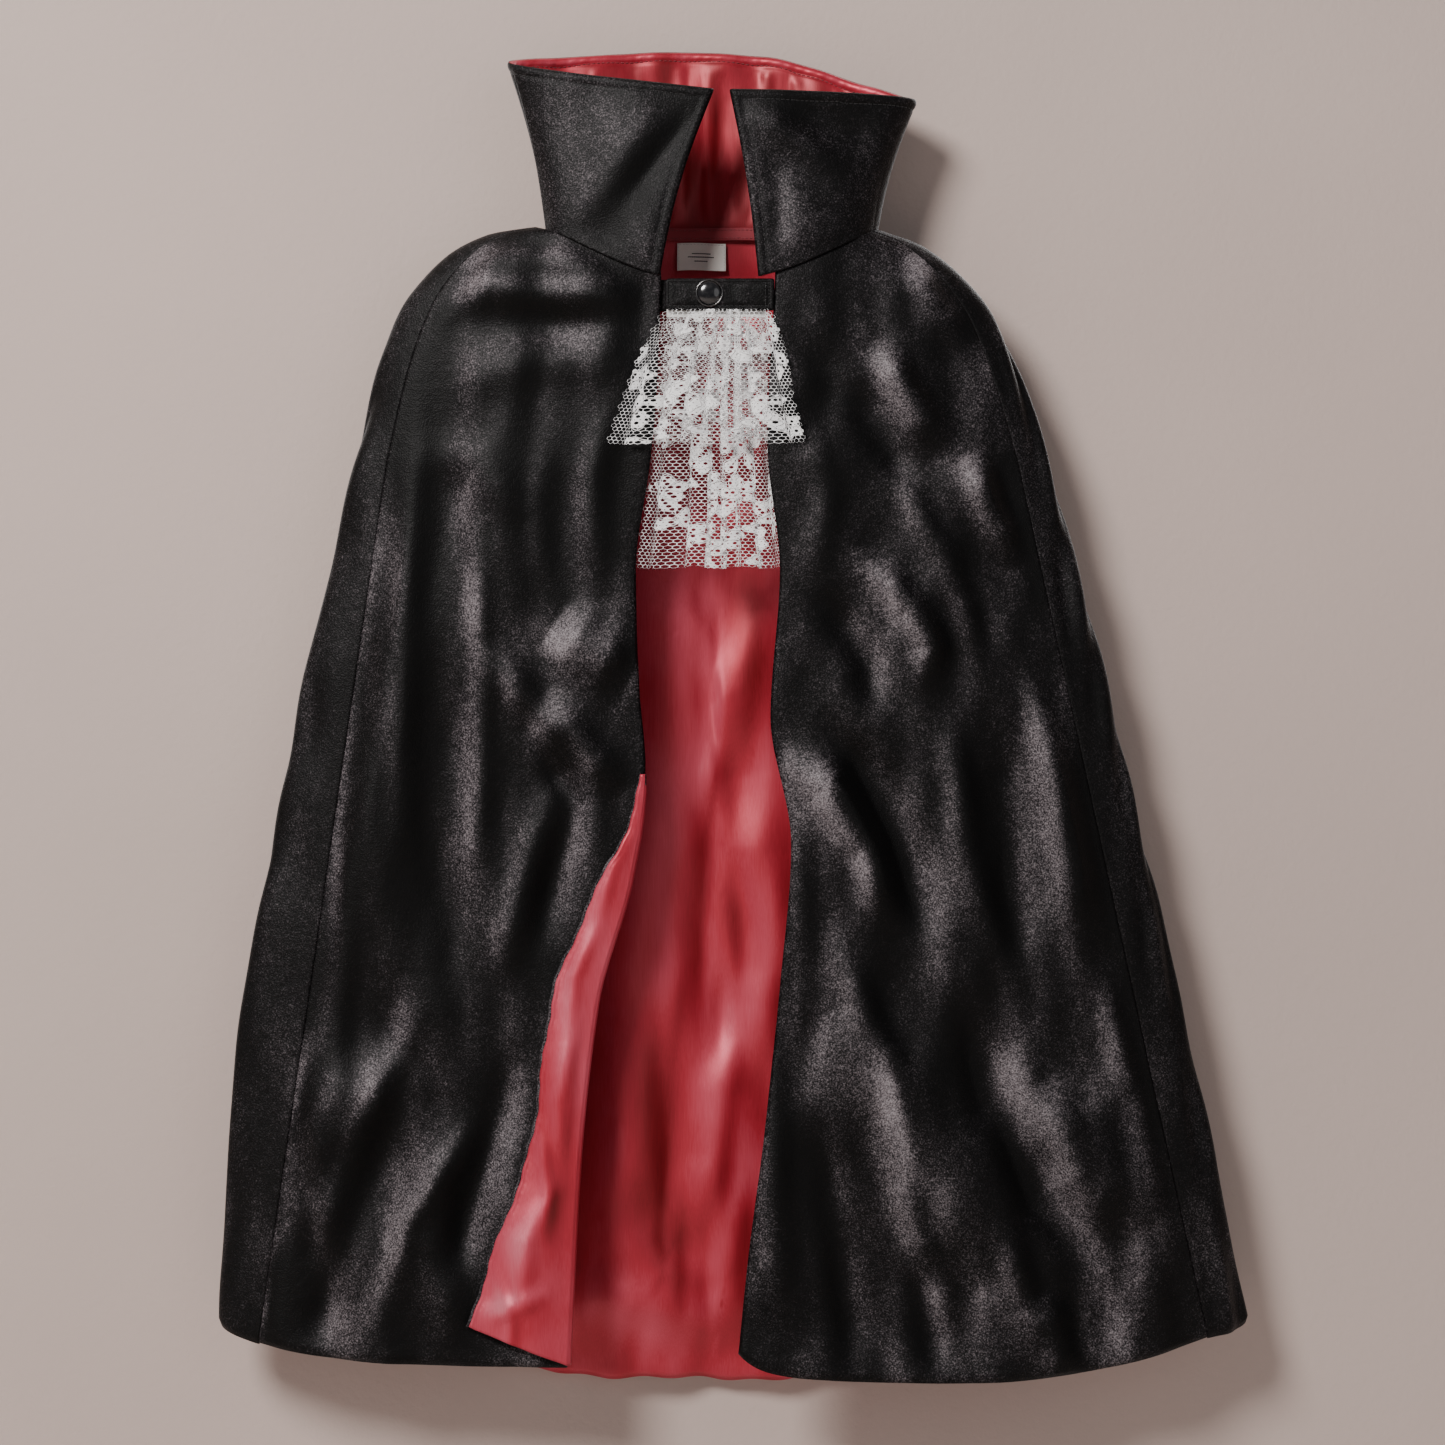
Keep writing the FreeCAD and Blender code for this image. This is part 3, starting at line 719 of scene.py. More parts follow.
def woven_material(name, colour, dark_share=0.75):
    """Plain ribbon weave for the tape, the label and the backings."""
    made = Shader(name, colour, 0.66, Sheen_Weight=0.2, Sheen_Roughness=0.5)
    across = made.waves(520, "X", 0.4)
    down = made.waves(520, "Z", 0.4)
    weave = made.math("MULTIPLY", across, down)
    tone = made.noise(160, 3.0, 0.5)
    mixed = made.math("ADD", made.math("MULTIPLY", weave, 0.5), made.math("MULTIPLY", tone, 0.5))
    dark = tuple(dark_share * c for c in colour)
    made.colour(made.ramp(mixed, (0.2, dark), (0.6, colour)))
    made.rough(tone, 0.55, 0.8)
    made.bump((weave, 0.4, 0.00015))
    return made.material


def felt_material(name, colour):
    """Non-woven interfacing."""
    made = Shader(name, colour, 0.85, Sheen_Weight=0.2)
    fibres = made.noise(900, 4.0, 0.7)
    made.colour(made.ramp(fibres, (0.35, tuple(0.8 * c for c in colour)), (0.65, colour)))
    made.rough(fibres, 0.75, 0.95)
    made.bump((fibres, 0.5, 0.0003))
    return made.material


def enamel_material():
    made = Shader("snap_enamel", (0.006, 0.006, 0.007), 0.16, Coat_Weight=0.8, Coat_Roughness=0.06,
                  Specular_IOR_Level=0.6)
    wear = made.noise(420, 4.0, 0.6)
    made.colour(made.ramp(wear, (0.4, (0.004, 0.004, 0.005)), (0.75, (0.02, 0.019, 0.02))))
    made.rough(wear, 0.1, 0.26)
    made.bump((wear, 0.08, 0.0001))
    return made.material


def metal_material(name, colour, low, high):
    made = Shader(name, colour, 0.3, Metallic=1.0)
    wear = made.noise(600, 4.0, 0.65)
    made.colour(made.ramp(wear, (0.3, tuple(0.6 * c for c in colour)), (0.65, colour)))
    made.rough(wear, low, high)
    made.bump((wear, 0.15, 0.00008))
    return made.material


def plaster_material(name, colour):
    made = Shader(name, colour, 0.85, Specular_IOR_Level=0.2)
    skin = made.noise(230, 4.0, 0.55)
    tone = made.noise(3, 3.0, 0.5)
    made.colour(made.ramp(tone, (0.35, tuple(0.95 * c for c in colour)), (0.65, colour)))
    made.rough(skin, 0.8, 0.95)
    made.bump((skin, 0.3, 0.0012))
    return made.material


VELVET = velvet_material()
SATIN = satin_material()
LACE = lace_material()
BLACK_THREAD = thread_material("black_thread", (0.012, 0.011, 0.012))
RED_THREAD = thread_material("red_thread", (0.20, 0.014, 0.024))
WHITE_THREAD = thread_material("white_thread", (0.8, 0.8, 0.78))
GREY_THREAD = thread_material("grey_thread", (0.05, 0.05, 0.05))
NECK_TAPE = woven_material("neck_tape_weave", (0.30, 0.022, 0.036))
LABEL = woven_material("label_weave", (0.93, 0.91, 0.85), 0.88)
BACKING = woven_material("backing_weave", (0.02, 0.018, 0.02))
HEADING = woven_material("heading_weave", (0.8, 0.8, 0.78), 0.85)
FELT = felt_material("interfacing_felt", (0.72, 0.70, 0.66))
ENAMEL = enamel_material()
NICKEL = metal_material("dark_nickel", (0.16, 0.155, 0.155), 0.16, 0.34)
PALE_METAL = metal_material("nickel", (0.6, 0.59, 0.57), 0.22, 0.42)


# ---------------------------------------------------------------- the body panels

VELVET_THICK = 1.4
SATIN_THICK = 0.6
SATIN_IN = 1.75
NECK_GAP = 0.4


def front_grid(left, columns, rows, inset=0.0, hem_lift=0.0, clear=0.03):
    """Grid of a front, from its side seam to its inner edge and from the neck seam to the hem."""
    share = np.linspace(0, 1, columns)[:, None] * np.ones((1, rows))
    down = np.ones((columns, 1)) * np.linspace(0, 1, rows)[None, :] ** 1.12
    edge = LEFT_INNER_EDGE if left else RIGHT_INNER_EDGE
    sign = 1 if left else -1
    clear = sign * clear

    def angles(z):
        start = seam_angle(z, left) + clear
        end = angle_at(between(edge, z) - sign * inset, z)
        return mix(start, end, share)

    top = np.full_like(share, float(COLLAR_FRONT_Z))
    for _ in range(4):
        top = panel_top(angles(top))
    hem = np.full_like(share, float(HEM_Z))
    for _ in range(4):
        hem = front_hem_z(garment(angles(hem), hem)[..., 0], left)
    z = mix(top - NECK_GAP, hem + hem_lift, down)
    return garment(angles(z), z)


def outward(grid, left_to_right=True):
    """Normals away from the wearer, for a grid that runs down, and from left to right in front."""
    found = normals(grid)
    return -found if left_to_right else found


def front_height(left, x, z):
    """Height of a front's folds above the plain surface."""
    folds = LEFT_FOLDS if left else RIGHT_FOLDS
    height = 1.25 * fold_height(folds, x, z)
    height += 1.8 * ripples(11 if left else 12, x, z, 90, 190)
    height += 0.4 * ripples(21 if left else 22, x, z, 34, 70)
    towards_hem = ease(-z, 480, 730)
    height += 2.2 * towards_hem * ripples(31 if left else 32, x, z, 75, 900, waves=6)
    return height


def shaped_front(left, grid):
    """A front's grid with its folds raised."""
    way = outward(grid, left)
    from_seam, from_edge = run_length(grid, 0)
    from_neck, _ = run_length(grid, 1)
    x, z = grid[..., 0], grid[..., 2]
    height = front_height(left, x, z)
    height *= ease(from_seam, 0, 26) * ease(from_neck, 0, 16)
    height *= mix(0.55, 1.0, ease(from_edge, 0, 14))
    height = np.where(height < -6.5, -6.5 + (height + 6.5) * 0.4, height)
    height = np.where(height > 8.5, 8.5 + (height - 8.5) * 0.3, height)
    return grid + way * height[..., None]


def front_velvet(left):
    """One cloth from the neck seam to the hem, with its edges turned under."""
    side = "left" if left else "right"
    grid = shaped_front(left, front_grid(left, 128, 270))
    way = outward(grid, left)
    from_seam, from_edge = run_length(grid, 0)
    from_neck, from_hem = run_length(grid, 1)
    drop = edge_roll(from_edge, 2.6) * 0.55 + edge_roll(from_hem, 2.6) * 0.6
    drop += edge_roll(from_seam, 1.4) * 0.5 + edge_roll(from_neck, 2.5) * 0.8
    pucker = np.exp(-((from_edge - 3.2) / 1.4) ** 2) * (0.25 + 0.15 * np.sin(from_neck * 1.9))
    grid = grid - way * (drop + pucker)[..., None]
    # Painted light and shade from the folds' slopes towards the key light, and painted highlight and shade
    # patches.
    tone_and_painted_light = front_painted_light(left, grid[..., 0], grid[..., 2])
    piece = sheet_piece(side + "_front_velvet_cloth", grid, VELVET_THICK, VELVET, tone_and_painted_light)
    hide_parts(side + "_yoke_velvet", side + "_front_velvet")
    finish_front(piece)


# Painted highlight (positive strength) and painted shade (negative) patches on each front: centre x and z,
# size along and across, lean in radians and strength.
LEFT_PAINTED_PATCHES = (
    (-110, -30, 70, 13, 0.1, 0.14), (-92, -268, 60, 15, -0.45, 0.20), (-116, -326, 66, 10, -1.2, 0.15),
    (-80, -334, 44, 9, -0.95, 0.14), (-236, -574, 80, 20, 0.55, 0.14), (-90, -180, 30, 50, 0, -0.08),
    (-190, -640, 70, 16, 1.1, 0.08), (-130, -140, 90, 26, 0.1, -0.08), (-120, -470, 30, 50, 0, -0.10),
    (-240, -330, 30, 120, 0, -0.05),
)
RIGHT_PAINTED_PATCHES = (
    (148, -46, 46, 13, -1.15, 0.20), (130, -114, 50, 11, -0.9, 0.18), (180, -180, 56, 12, -1.05, 0.18),
    (122, -250, 60, 12, -0.9, 0.17), (88, -396, 74, 15, -1.0, 0.24), (134, -590, 130, 24, -1.1, 0.24),
    (246, -600, 84, 18, -0.9, 0.14), (60, -180, 22, 60, 0, -0.08), (212, -400, 30, 110, 0, -0.07),
    (124, -470, 24, 60, 0.2, -0.12), (60, -640, 24, 80, 0, -0.08), (304, -520, 26, 140, 0.2, -0.10),
)


def front_painted_light(left, x, z):
    def height(px, pz):
        return front_height(left, px, pz)

    return painted_light_from_slopes(height, x, z, 1.05, LEFT_PAINTED_PATCHES if left else RIGHT_PAINTED_PATCHES)


def finish_front(piece):
    """Bakes a front's transform into its mesh."""
    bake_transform(piece)


def front_satin(left):
    side = "left" if left else "right"
    grid = shaped_front(left, front_grid(left, 96, 200, inset=2.6, hem_lift=1.6, clear=0.9))
    way = outward(grid, left)
    _, from_edge = run_length(grid, 0)
    _, from_hem = run_length(grid, 1)
    rise = edge_roll(from_edge, 2.4) * 0.15 - edge_roll(from_hem, 2.4) * 0.1
    grid = grid - way * (SATIN_IN - rise)[..., None]
    piece = sheet_piece(side + "_front_satin_lining", grid, SATIN_THICK, SATIN)
    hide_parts(side + "_yoke_lining", side + "_front_lining")
    finish_front(piece)


# Painted highlight (positive) and painted shade (negative) patches on the turned-back edge: centre x and z,
# size along and across, lean in radians and strength.
TURNBACK_PAINTED_PATCHES = (
    (-88, -520, 14, 46, 0.2, 0.26), (-76, -450, 10, 30, 0.3, 0.18), (-104, -590, 12, 34, 0, -0.12),
    (-96, -640, 14, 30, -0.2, -0.10), (-124, -648, 16, 16, 0.4, 0.16), (-112, -700, 24, 9, 0.3, -0.12),
    (-132, -690, 14, 12, 0.2, 0.16),
)


TURN_ROWS = 12
TURN_RADIUS = 2.2


def turnback_height(x, z):
    return fold_height(TURNBACK_FOLDS, x, z)


def turnback_pieces():
    """The left front's edge, rolled over the fold line and laid outward on its own velvet.

    Across it the cloth runs from the back of the fold, round the fold, and out to the free edge.
    """
    share = np.linspace(0, 1, 60)[:, None]
    z = mix(TURNBACK_TOP, mix(-727.0, -703.0, share), np.linspace(0, 1, 210)[None, :])
    fold_x = between(LEFT_INNER_EDGE, z)
    free_x = between(TURNBACK_EDGE, z) + 0.3 * np.sin(z * 0.42) + 0.9 * np.sin(z * 0.11 + 1.0)
    x = mix(fold_x, free_x, share**1.05)
    flat = garment(angle_at(x, z), z)
    flat_x, flat_z = flat[..., 0], flat[..., 2]
    from_fold = fold_x - x
    width = fold_x - free_x
    under = np.clip(front_height(True, flat_x, flat_z), -5.5, None) * mix(0.55, 1.0, ease(from_fold, 0, 14))
    lift = 1.9 + 3.4 * np.sin(np.pi * share) ** 1.4 * (1 - 0.6 * ease(z, -732, -352))
    lift = lift + turnback_height(flat_x, flat_z) * ease(from_fold, 0, 8)
    lift = lift + 0.3 * ripples(41, flat_x, flat_z, 26, 60) * ease(from_fold, 0, 8)
    height = under + lift * ease(width, 0, 12)
    # Round the fold the cloth is a half circle from behind the front's own edge.
    forward = np.array((0, -1.0, 0))
    rightward = np.array((1.0, 0, 0))
    start = garment(angle_at(fold_x[:1], z[:1]), z[:1])
    centre = start + forward * (under[:1, :, None] + 0.9)

    def cloth(name, out, begin, trim, roll, pucker, thick, material):
        reach = (TURN_RADIUS + out) * ease(width[:1], 0, 9)[..., None]
        rings = []
        for k in range(TURN_ROWS):
            turn = math.pi * mix(begin, 1.0, k / TURN_ROWS)
            rings.append(centre + rightward * reach * math.sin(turn) * 0.75
                         - forward * reach * math.cos(turn) * 0.8)
        outer = flat + forward * (height + 1.3 + out)[..., None]
        outer[..., 0] = flat_x + trim * ease(share, 0.9, 1.0)
        grid = np.concatenate(rings + [outer], axis=0)
        _, from_free = run_length(grid, 0)
        seam = np.exp(-((from_free - 3.4) / 1.3) ** 2) * (0.25 + 0.14 * np.sin(z[0] * 1.3))
        grid[..., 1] += roll * edge_roll(from_free, 2.4) + pucker * seam
        # Painted light from the turn-back's fold slopes and painted patches, on a lighter base.
        tone_and_painted_light = painted_light_from_slopes(turnback_height, grid[..., 0], grid[..., 2], 0.5, TURNBACK_PAINTED_PATCHES, base=0.56)
        return sheet_piece(name, grid, thick, material, tone_and_painted_light)

    # Velvet starts at the front's own edge; satin starts behind the front's lining.
    velvet = cloth("left_front_turnback_velvet_cloth", 0.0, 0.12, 0.0, -0.35, 0, VELVET_THICK, VELVET)
    satin = cloth("left_front_turnback_satin_lining", 1.25, 0.0, 1.0, 0.75, 1, SATIN_THICK, SATIN)
    size = {"flat": (0.085, 0.385), "held": "folded", "area": 0.0175}
    dress(velvet, "left_front", "velvet", "left_front_turnback_velvet", **size)
    dress(satin, "left_front", "satin", "left_front_turnback_lining", **size)


def back_grid(columns, rows, hem_drop=0.0, inset=0.0):
    share = np.linspace(0, 1, columns)[:, None]
    # More columns near both sides, where the cloth turns sharply.
    share = share - 0.035 * np.sin(4 * np.pi * share)
    share = share * np.ones((1, rows))
    down = np.ones((columns, 1)) * np.linspace(0, 1, rows)[None, :] ** 1.25

    def angles(z):
        start = seam_angle(z, False) - 360 + inset
        end = seam_angle(z, True) - inset
        return mix(start, end, share)

    nominal = angles(np.full_like(share, float(YOKE_Z)))
    z = mix(panel_top(nominal) - NECK_GAP, hem_z(nominal) - hem_drop, down)
    return garment(angles(z), z)


def back_height(grid):
    """Folds of the back, only where it faces away from the sides."""
    x, z = grid[..., 0], grid[..., 2]
    level = ease(grid[..., 1], 9, 22)
    height = fold_height(BACK_FOLDS, x, z) + 1.6 * ripples(51, x, z, 90, 260)
    height += 2.4 * ease(-z, 420, 730) * ripples(52, x, z, 95, 900, waves=6)
    from_right, from_left = run_length(grid, 0)
    from_seam = ease(np.minimum(from_right, from_left), 0, 24)
    side = (1 - level) * 1.7 * ripples(53, x + grid[..., 1] * 2, z, 42, 90)
    return height * level * ease(-z, 0, 40) + side * ease(-z, 20, 90) * from_seam


def back_tone_and_painted_light(grid):
    def height(px, pz):
        return fold_height(BACK_FOLDS, px, pz) + 1.6 * ripples(51, px, pz, 90, 260)

    # Painted highlight patches and painted light from the back's fold slopes; the side wraps get a plain,
    # slightly darker level with random tone.
    patches = ((-140, -180, 60, 30, -0.6, 0.2), (60, -320, 60, 90, 0.2, 0.2),
               (-80, -560, 50, 90, 0.1, 0.2), (170, -600, 40, 100, 0, 0.18))
    bright = painted_light_from_slopes(height, grid[..., 0], grid[..., 2], 0.6, patches)
    plain = NEUTRAL_PAINTED_LIGHT - 0.03 + 0.07 * ripples(54, grid[..., 1] * 3, grid[..., 2], 40, 110)
    return mix(plain, bright, ease(grid[..., 1], 4, 18))


def back_velvet():
    grid = back_grid(330, 230, inset=0.03)
    way = outward(grid)
    grid = grid + way * back_height(grid)[..., None]
    from_start, from_end = run_length(grid, 0)
    from_neck, from_hem = run_length(grid, 1)
    drop = edge_roll(np.minimum(from_start, from_end), 1.4) * 0.5
    drop += edge_roll(from_hem, 2.6) * 0.6 + edge_roll(from_neck, 2.5) * 0.8
    grid = grid - outward(grid) * drop[..., None]
    piece = sheet_piece("back_velvet_cloth", grid, VELVET_THICK, VELVET, back_tone_and_painted_light(grid))
    dress(piece, "cape", "velvet", "back_velvet", flat=(0.76, 0.75), held="hung", area=0.43)


def satin_height(x, z):
    wide = 1.4 * ripples(61, x + 0.35 * z, z, 70, 150)
    return 1.2 * fold_height(SATIN_FOLDS, x, z) + wide + 0.25 * ripples(62, x, z, 24, 70)


# Painted shade (negative) and painted highlight (positive) patches on the back's lining: centre x and z,
# size along and across, lean in radians and strength.
SATIN_PAINTED_PATCHES = (
    (-56, -590, 40, 100, 0.05, -0.20), (-20, -640, 30, 60, 0, -0.06), (-20, -260, 42, 40, -0.3, 0.16),
    (10, -330, 40, 30, 0.4, 0.12), (0, -420, 30, 60, 0.2, -0.10), (12, -500, 40, 26, 0.5, 0.12),
    (16, -600, 20, 60, -0.2, 0.14), (-50, -712, 40, 14, -0.3, 0.22), (20, -130, 60, 60, 0, -0.10),
    (-30, -300, 12, 60, 0.1, -0.14), (28, -250, 10, 40, 0, -0.16), (-40, -430, 20, 60, 0, 0.10),
)


def back_satin():
    """The back's lining. It hangs a little below the velvet, so its rolled hem shows."""
    grid = back_grid(330, 230, hem_drop=-2.0, inset=0.8)
    way = outward(grid)
    x, z = grid[..., 0], grid[..., 2]
    middle = ease(160 - np.abs(x + 40), 0, 70) * ease(grid[..., 1], 5, 15)
    down = ease(-z, 700, 742)
    grid[..., 2] -= (7.4 + 1.4 * np.sin(x * 0.055) + 0.9 * np.sin(x * 0.17)) * middle * down
    grid = grid + way * back_height(grid)[..., None]
    level = ease(grid[..., 1], 4, 16)
    creases = satin_height(x, z) + 1.6
    creases = creases + 9.0 * ease(-z, 60, 260) * ease(170 - np.abs(x + 20), 0, 130)
    # The lining hangs a little loose of the velvet, and never goes through it.
    creases = np.logaddexp(0, creases * 1.5) / 1.5
    inward = SATIN_IN + creases * level * ease(-z, 14, 60) * mix(1.0, 0.35, ease(-z, 690, 742))
    _, from_hem = run_length(grid, 1)
    inward = inward - edge_roll(from_hem, 3.2) * mix(-0.1, 0.6, middle)
    grid = grid - outward(grid) * inward[..., None]
    # Painted light from the lining's crease slopes, with painted highlight and shade patches.
    tone_and_painted_light = painted_light_from_slopes(satin_height, x, z, 0.6, SATIN_PAINTED_PATCHES, base=0.50)
    piece = sheet_piece("back_satin_lining", grid, SATIN_THICK, SATIN, tone_and_painted_light)
    dress(piece, "cape", "satin", "back_lining", flat=(0.76, 0.75), held="hung", area=0.43)


# ---------------------------------------------------------------- collar

RIM_STITCH = 6.0


def collar_grid(columns, rows, low=-3.6):
    """Grid of the collar's middle, from the right front edge to the left, base to rim."""
    share = np.linspace(0, 1, columns)[:, None]
    rise = np.linspace(0, 1, rows)[None, :]
    base = neck_point(mix(*COLLAR_BASE_ANGLES, share)) + np.array((0, 0, low))
    outward_way = base * np.array((0.0, 1.0, 0.0))
    outward_way /= np.maximum(np.abs(outward_way[..., 1:2]), 6.0)
    base = base + outward_way * 1.6
    rim_angle = mix(*COLLAR_RIM_ANGLES, share)
    rim = np.stack((COLLAR_RIM_WIDTH * np.cos(np.radians(rim_angle)),
                    COLLAR_RIM_DEPTH * np.sin(np.radians(rim_angle)),
                    between(COLLAR_RIM, rim_angle)), axis=-1)
    # The stand curves inward a little before it flares.
    hollow = -4.0 * np.sin(np.pi * rise)[..., None] * (rim - base) * np.array((0.03, 0.0, 0.0))
    return base + (rim - base) * rise[..., None] + hollow


# Painted highlight (positive) and painted shade (negative) patches on the collar's front: centre x and z,
# size along and across, lean in radians and strength.
COLLAR_PAINTED_PATCHES = (
    (-100, 60, 26, 46, 0.1, 0.18), (-64, 70, 26, 16, 0.7, 0.14), (-30, 40, 60, 9, 0.85, -0.22),
    (-78, 14, 34, 9, 0.9, -0.12), (-46, -6, 10, 24, 0.4, 0.12), (34, 20, 16, 50, 0.3, 0.12),
    (62, 2, 34, 14, 0.7, 0.10), (92, 44, 40, 30, 0.5, -0.12), (60, 76, 50, 12, 0, -0.10),
)


def collar_painted_light(x, z, front):
    def height(px, pz):
        return fold_height(COLLAR_FOLDS, px, pz)

    return mix(NEUTRAL_PAINTED_LIGHT, painted_light_from_slopes(height, x, z, 0.8, COLLAR_PAINTED_PATCHES), front)


def collar_pieces():
    """Velvet outside, satin inside and the stiff felt between them, stitched all round near the edge."""
    grid = collar_grid(420, 110)
    way = normals(grid)
    from_right, from_left = run_length(grid, 0)
    from_base, from_rim = run_length(grid, 1)
    from_edge = np.minimum(np.minimum(from_right, from_left), from_rim)
    x, z = grid[..., 0], grid[..., 2]
    front = ease(-grid[..., 1], 2, 12)
    back = ease(grid[..., 1], 2, 12)
    height = fold_height(COLLAR_FOLDS, x, z) * front
    height += 0.8 * ripples(71, x, z, 70, 80)
    height += back * (1.4 * ripples(72, x, z, 44, 60))
    height *= ease(from_base, 0, 14) * mix(0.35, 1.0, ease(from_edge, 0, 12))
    turn = ease(np.abs(x).max(axis=0) - np.abs(x), 3, 30)
    grid = grid + way * (height * turn)[..., None]
    way = normals(grid)
    groove = np.exp(-((from_edge - RIM_STITCH) / 1.1) ** 2)
    run = np.where(from_rim < np.minimum(from_left, from_right), from_right, from_base)
    puff = np.clip(np.sin(np.pi * from_edge / RIM_STITCH), 0, 1) * (from_edge < RIM_STITCH)
    offset = 0.75 - 0.5 * groove + 0.25 * puff - edge_roll(from_edge, 2.6) * 0.45
    velvet = grid + way * offset[..., None]
    # Painted light on the collar's front from its fold slopes and patches; the back stays at the neutral
    # level.
    tone_and_painted_light = collar_painted_light(x, z, front * turn)
    outer = sheet_piece("collar_velvet_cloth", velvet, VELVET_THICK, VELVET, tone_and_painted_light)
    size = {"flat": (0.47, 0.15), "held": "stretched", "area": 0.056}
    dress(outer, "cape", "velvet", "collar_velvet", **size)
    pucker = 0.22 * np.sin(run * 2.1) + 0.16 * np.sin(run * 0.83 + 1.0)
    crease = 0.9 * np.maximum(0, ripples(73, x, z, 22, 60)) * ease(from_rim, 6, 14)
    offset = -2.2 + 0.75 * groove - (0.55 + pucker) * puff + edge_roll(from_edge, 3.0) * 0.66
    satin = grid + way * (offset - crease * back * ease(from_base, 8, 20))[..., None]
    # Painted shade inside the collar, lighter towards the rim's top, and a painted highlight on the puffed
    # band by the stitching, with random tone.
    local_tone_and_painted_light = 0.26 + 0.08 * ease(z, 84, 104) + 0.24 * puff + 0.06 * ripples(74, x, z, 26, 90)
    inner = sheet_piece("collar_satin_lining", satin, SATIN_THICK, SATIN, local_tone_and_painted_light)
    dress(inner, "cape", "satin", "collar_lining", **size)
    stiffener = (grid - way * 0.75)[4:-4, 3:-4]
    stiff = sheet_piece("collar_interfacing_felt", stiffener, 0.5, FELT)
    dress(stiff, "cape", "interfacing", "collar_interfacing", flat=(0.46, 0.148), held="stretched",
          area=0.054)
    collar_stitching(velvet, way, satin, from_edge)


def contour_path(grid, way, offset, from_edge, target, side):
    """Points along the collar at a distance from its edges: up one front edge, along the rim, down."""
    points = []
    ways = []
    count_u, count_v = from_edge.shape
    low = int(count_v * 0.04)

    def take(i, j):
        points.append(grid[i, j] + way[i, j] * offset)
        ways.append(way[i, j] * side)

    middle = int(count_v * 0.55)
    right = int(np.argmin(np.abs(from_edge[: count_u // 8, middle] - target)))
    left = count_u - 1 - int(np.argmin(np.abs(from_edge[::-1][: count_u // 8, middle] - target)))
    for j in range(low, count_v):
        i = int(np.argmin(np.abs(from_edge[: count_u // 8, j] - target)))
        if from_edge[i, j] < target - 0.8:
            break
        take(max(i, 1), j)
    for i in range(right + 2, left - 2):
        j = int(np.argmin(np.abs(from_edge[i, count_v // 2 :] - target))) + count_v // 2
        take(i, j)
    for j in range(count_v - 1, low, -1):
        i = count_u - 1 - int(np.argmin(np.abs(from_edge[::-1][: count_u // 8, j] - target)))
        if from_edge[i, j] < target - 0.8:
            continue
        take(i, j)
    return np.array(points), np.array(ways)


def smooth_path(points, times=3):
    points = np.array(points, dtype=float)
    for _ in range(times):
        points[1:-1] = (points[:-2] + 2 * points[1:-1] + points[2:]) / 4
    return points


def collar_stitching(velvet, way, satin, from_edge):
    outer = Bundle()
    points, ways = contour_path(velvet, way, 0.72, from_edge, RIM_STITCH, 1)
    stitch_line(outer, smooth_path(points), ways, length=2.3, gap=0.9, radius=0.26, rise=0.05)
    dress(outer.piece("collar_outer_topstitching", BLACK_THREAD), "cape", "velvet")
    inner = Bundle()
    points, ways = contour_path(satin, way, -0.36, from_edge, RIM_STITCH, -1)
    stitch_line(inner, smooth_path(points), ways, length=2.3, gap=0.9, radius=0.3, rise=0.05)
    dress(inner.piece("collar_inner_topstitching", RED_THREAD), "cape", "satin")


# ---------------------------------------------------------------- neck tape and label


def neck_tape():
    """Tape over the neck seam, with a row of stitches near each edge."""
    columns = 140
    angle = np.linspace(58, 122, columns)[:, None]
    rise = np.linspace(0, 1, 12)[None, :]
    flat = garment(angle, np.zeros_like(angle))
    depth = flat[..., 1] - 5.6 + 0.35 * np.sin(flat[..., 0] * 0.21)
    swell = 0.35 * np.sin(np.pi * rise)
    grid = np.stack((flat[..., 0] * 0.97 + 0 * rise, depth - swell,
                     mix(-1.0, 7.2, rise) + 0.3 * np.sin(flat[..., 0] * 0.11)), axis=-1)
    piece = sheet_piece("neck_seam_tape_weave", grid, 0.7, NECK_TAPE)
    dress(piece, "cape", "neck_tape", "neck_seam_tape", flat=(0.118, 0.0102), held="stretched")
    rows = Bundle()
    front = np.zeros((columns, 3)) + np.array((0, -1.0, 0))
    for row in (2, 9):
        path = grid[:, row] + np.array((0, -0.36, 0))
        stitch_line(rows, path, front, length=1.9, gap=0.8, radius=0.2, rise=0.05)
    dress(rows.piece("neck_tape_stitching", RED_THREAD), "cape", "neck_tape")


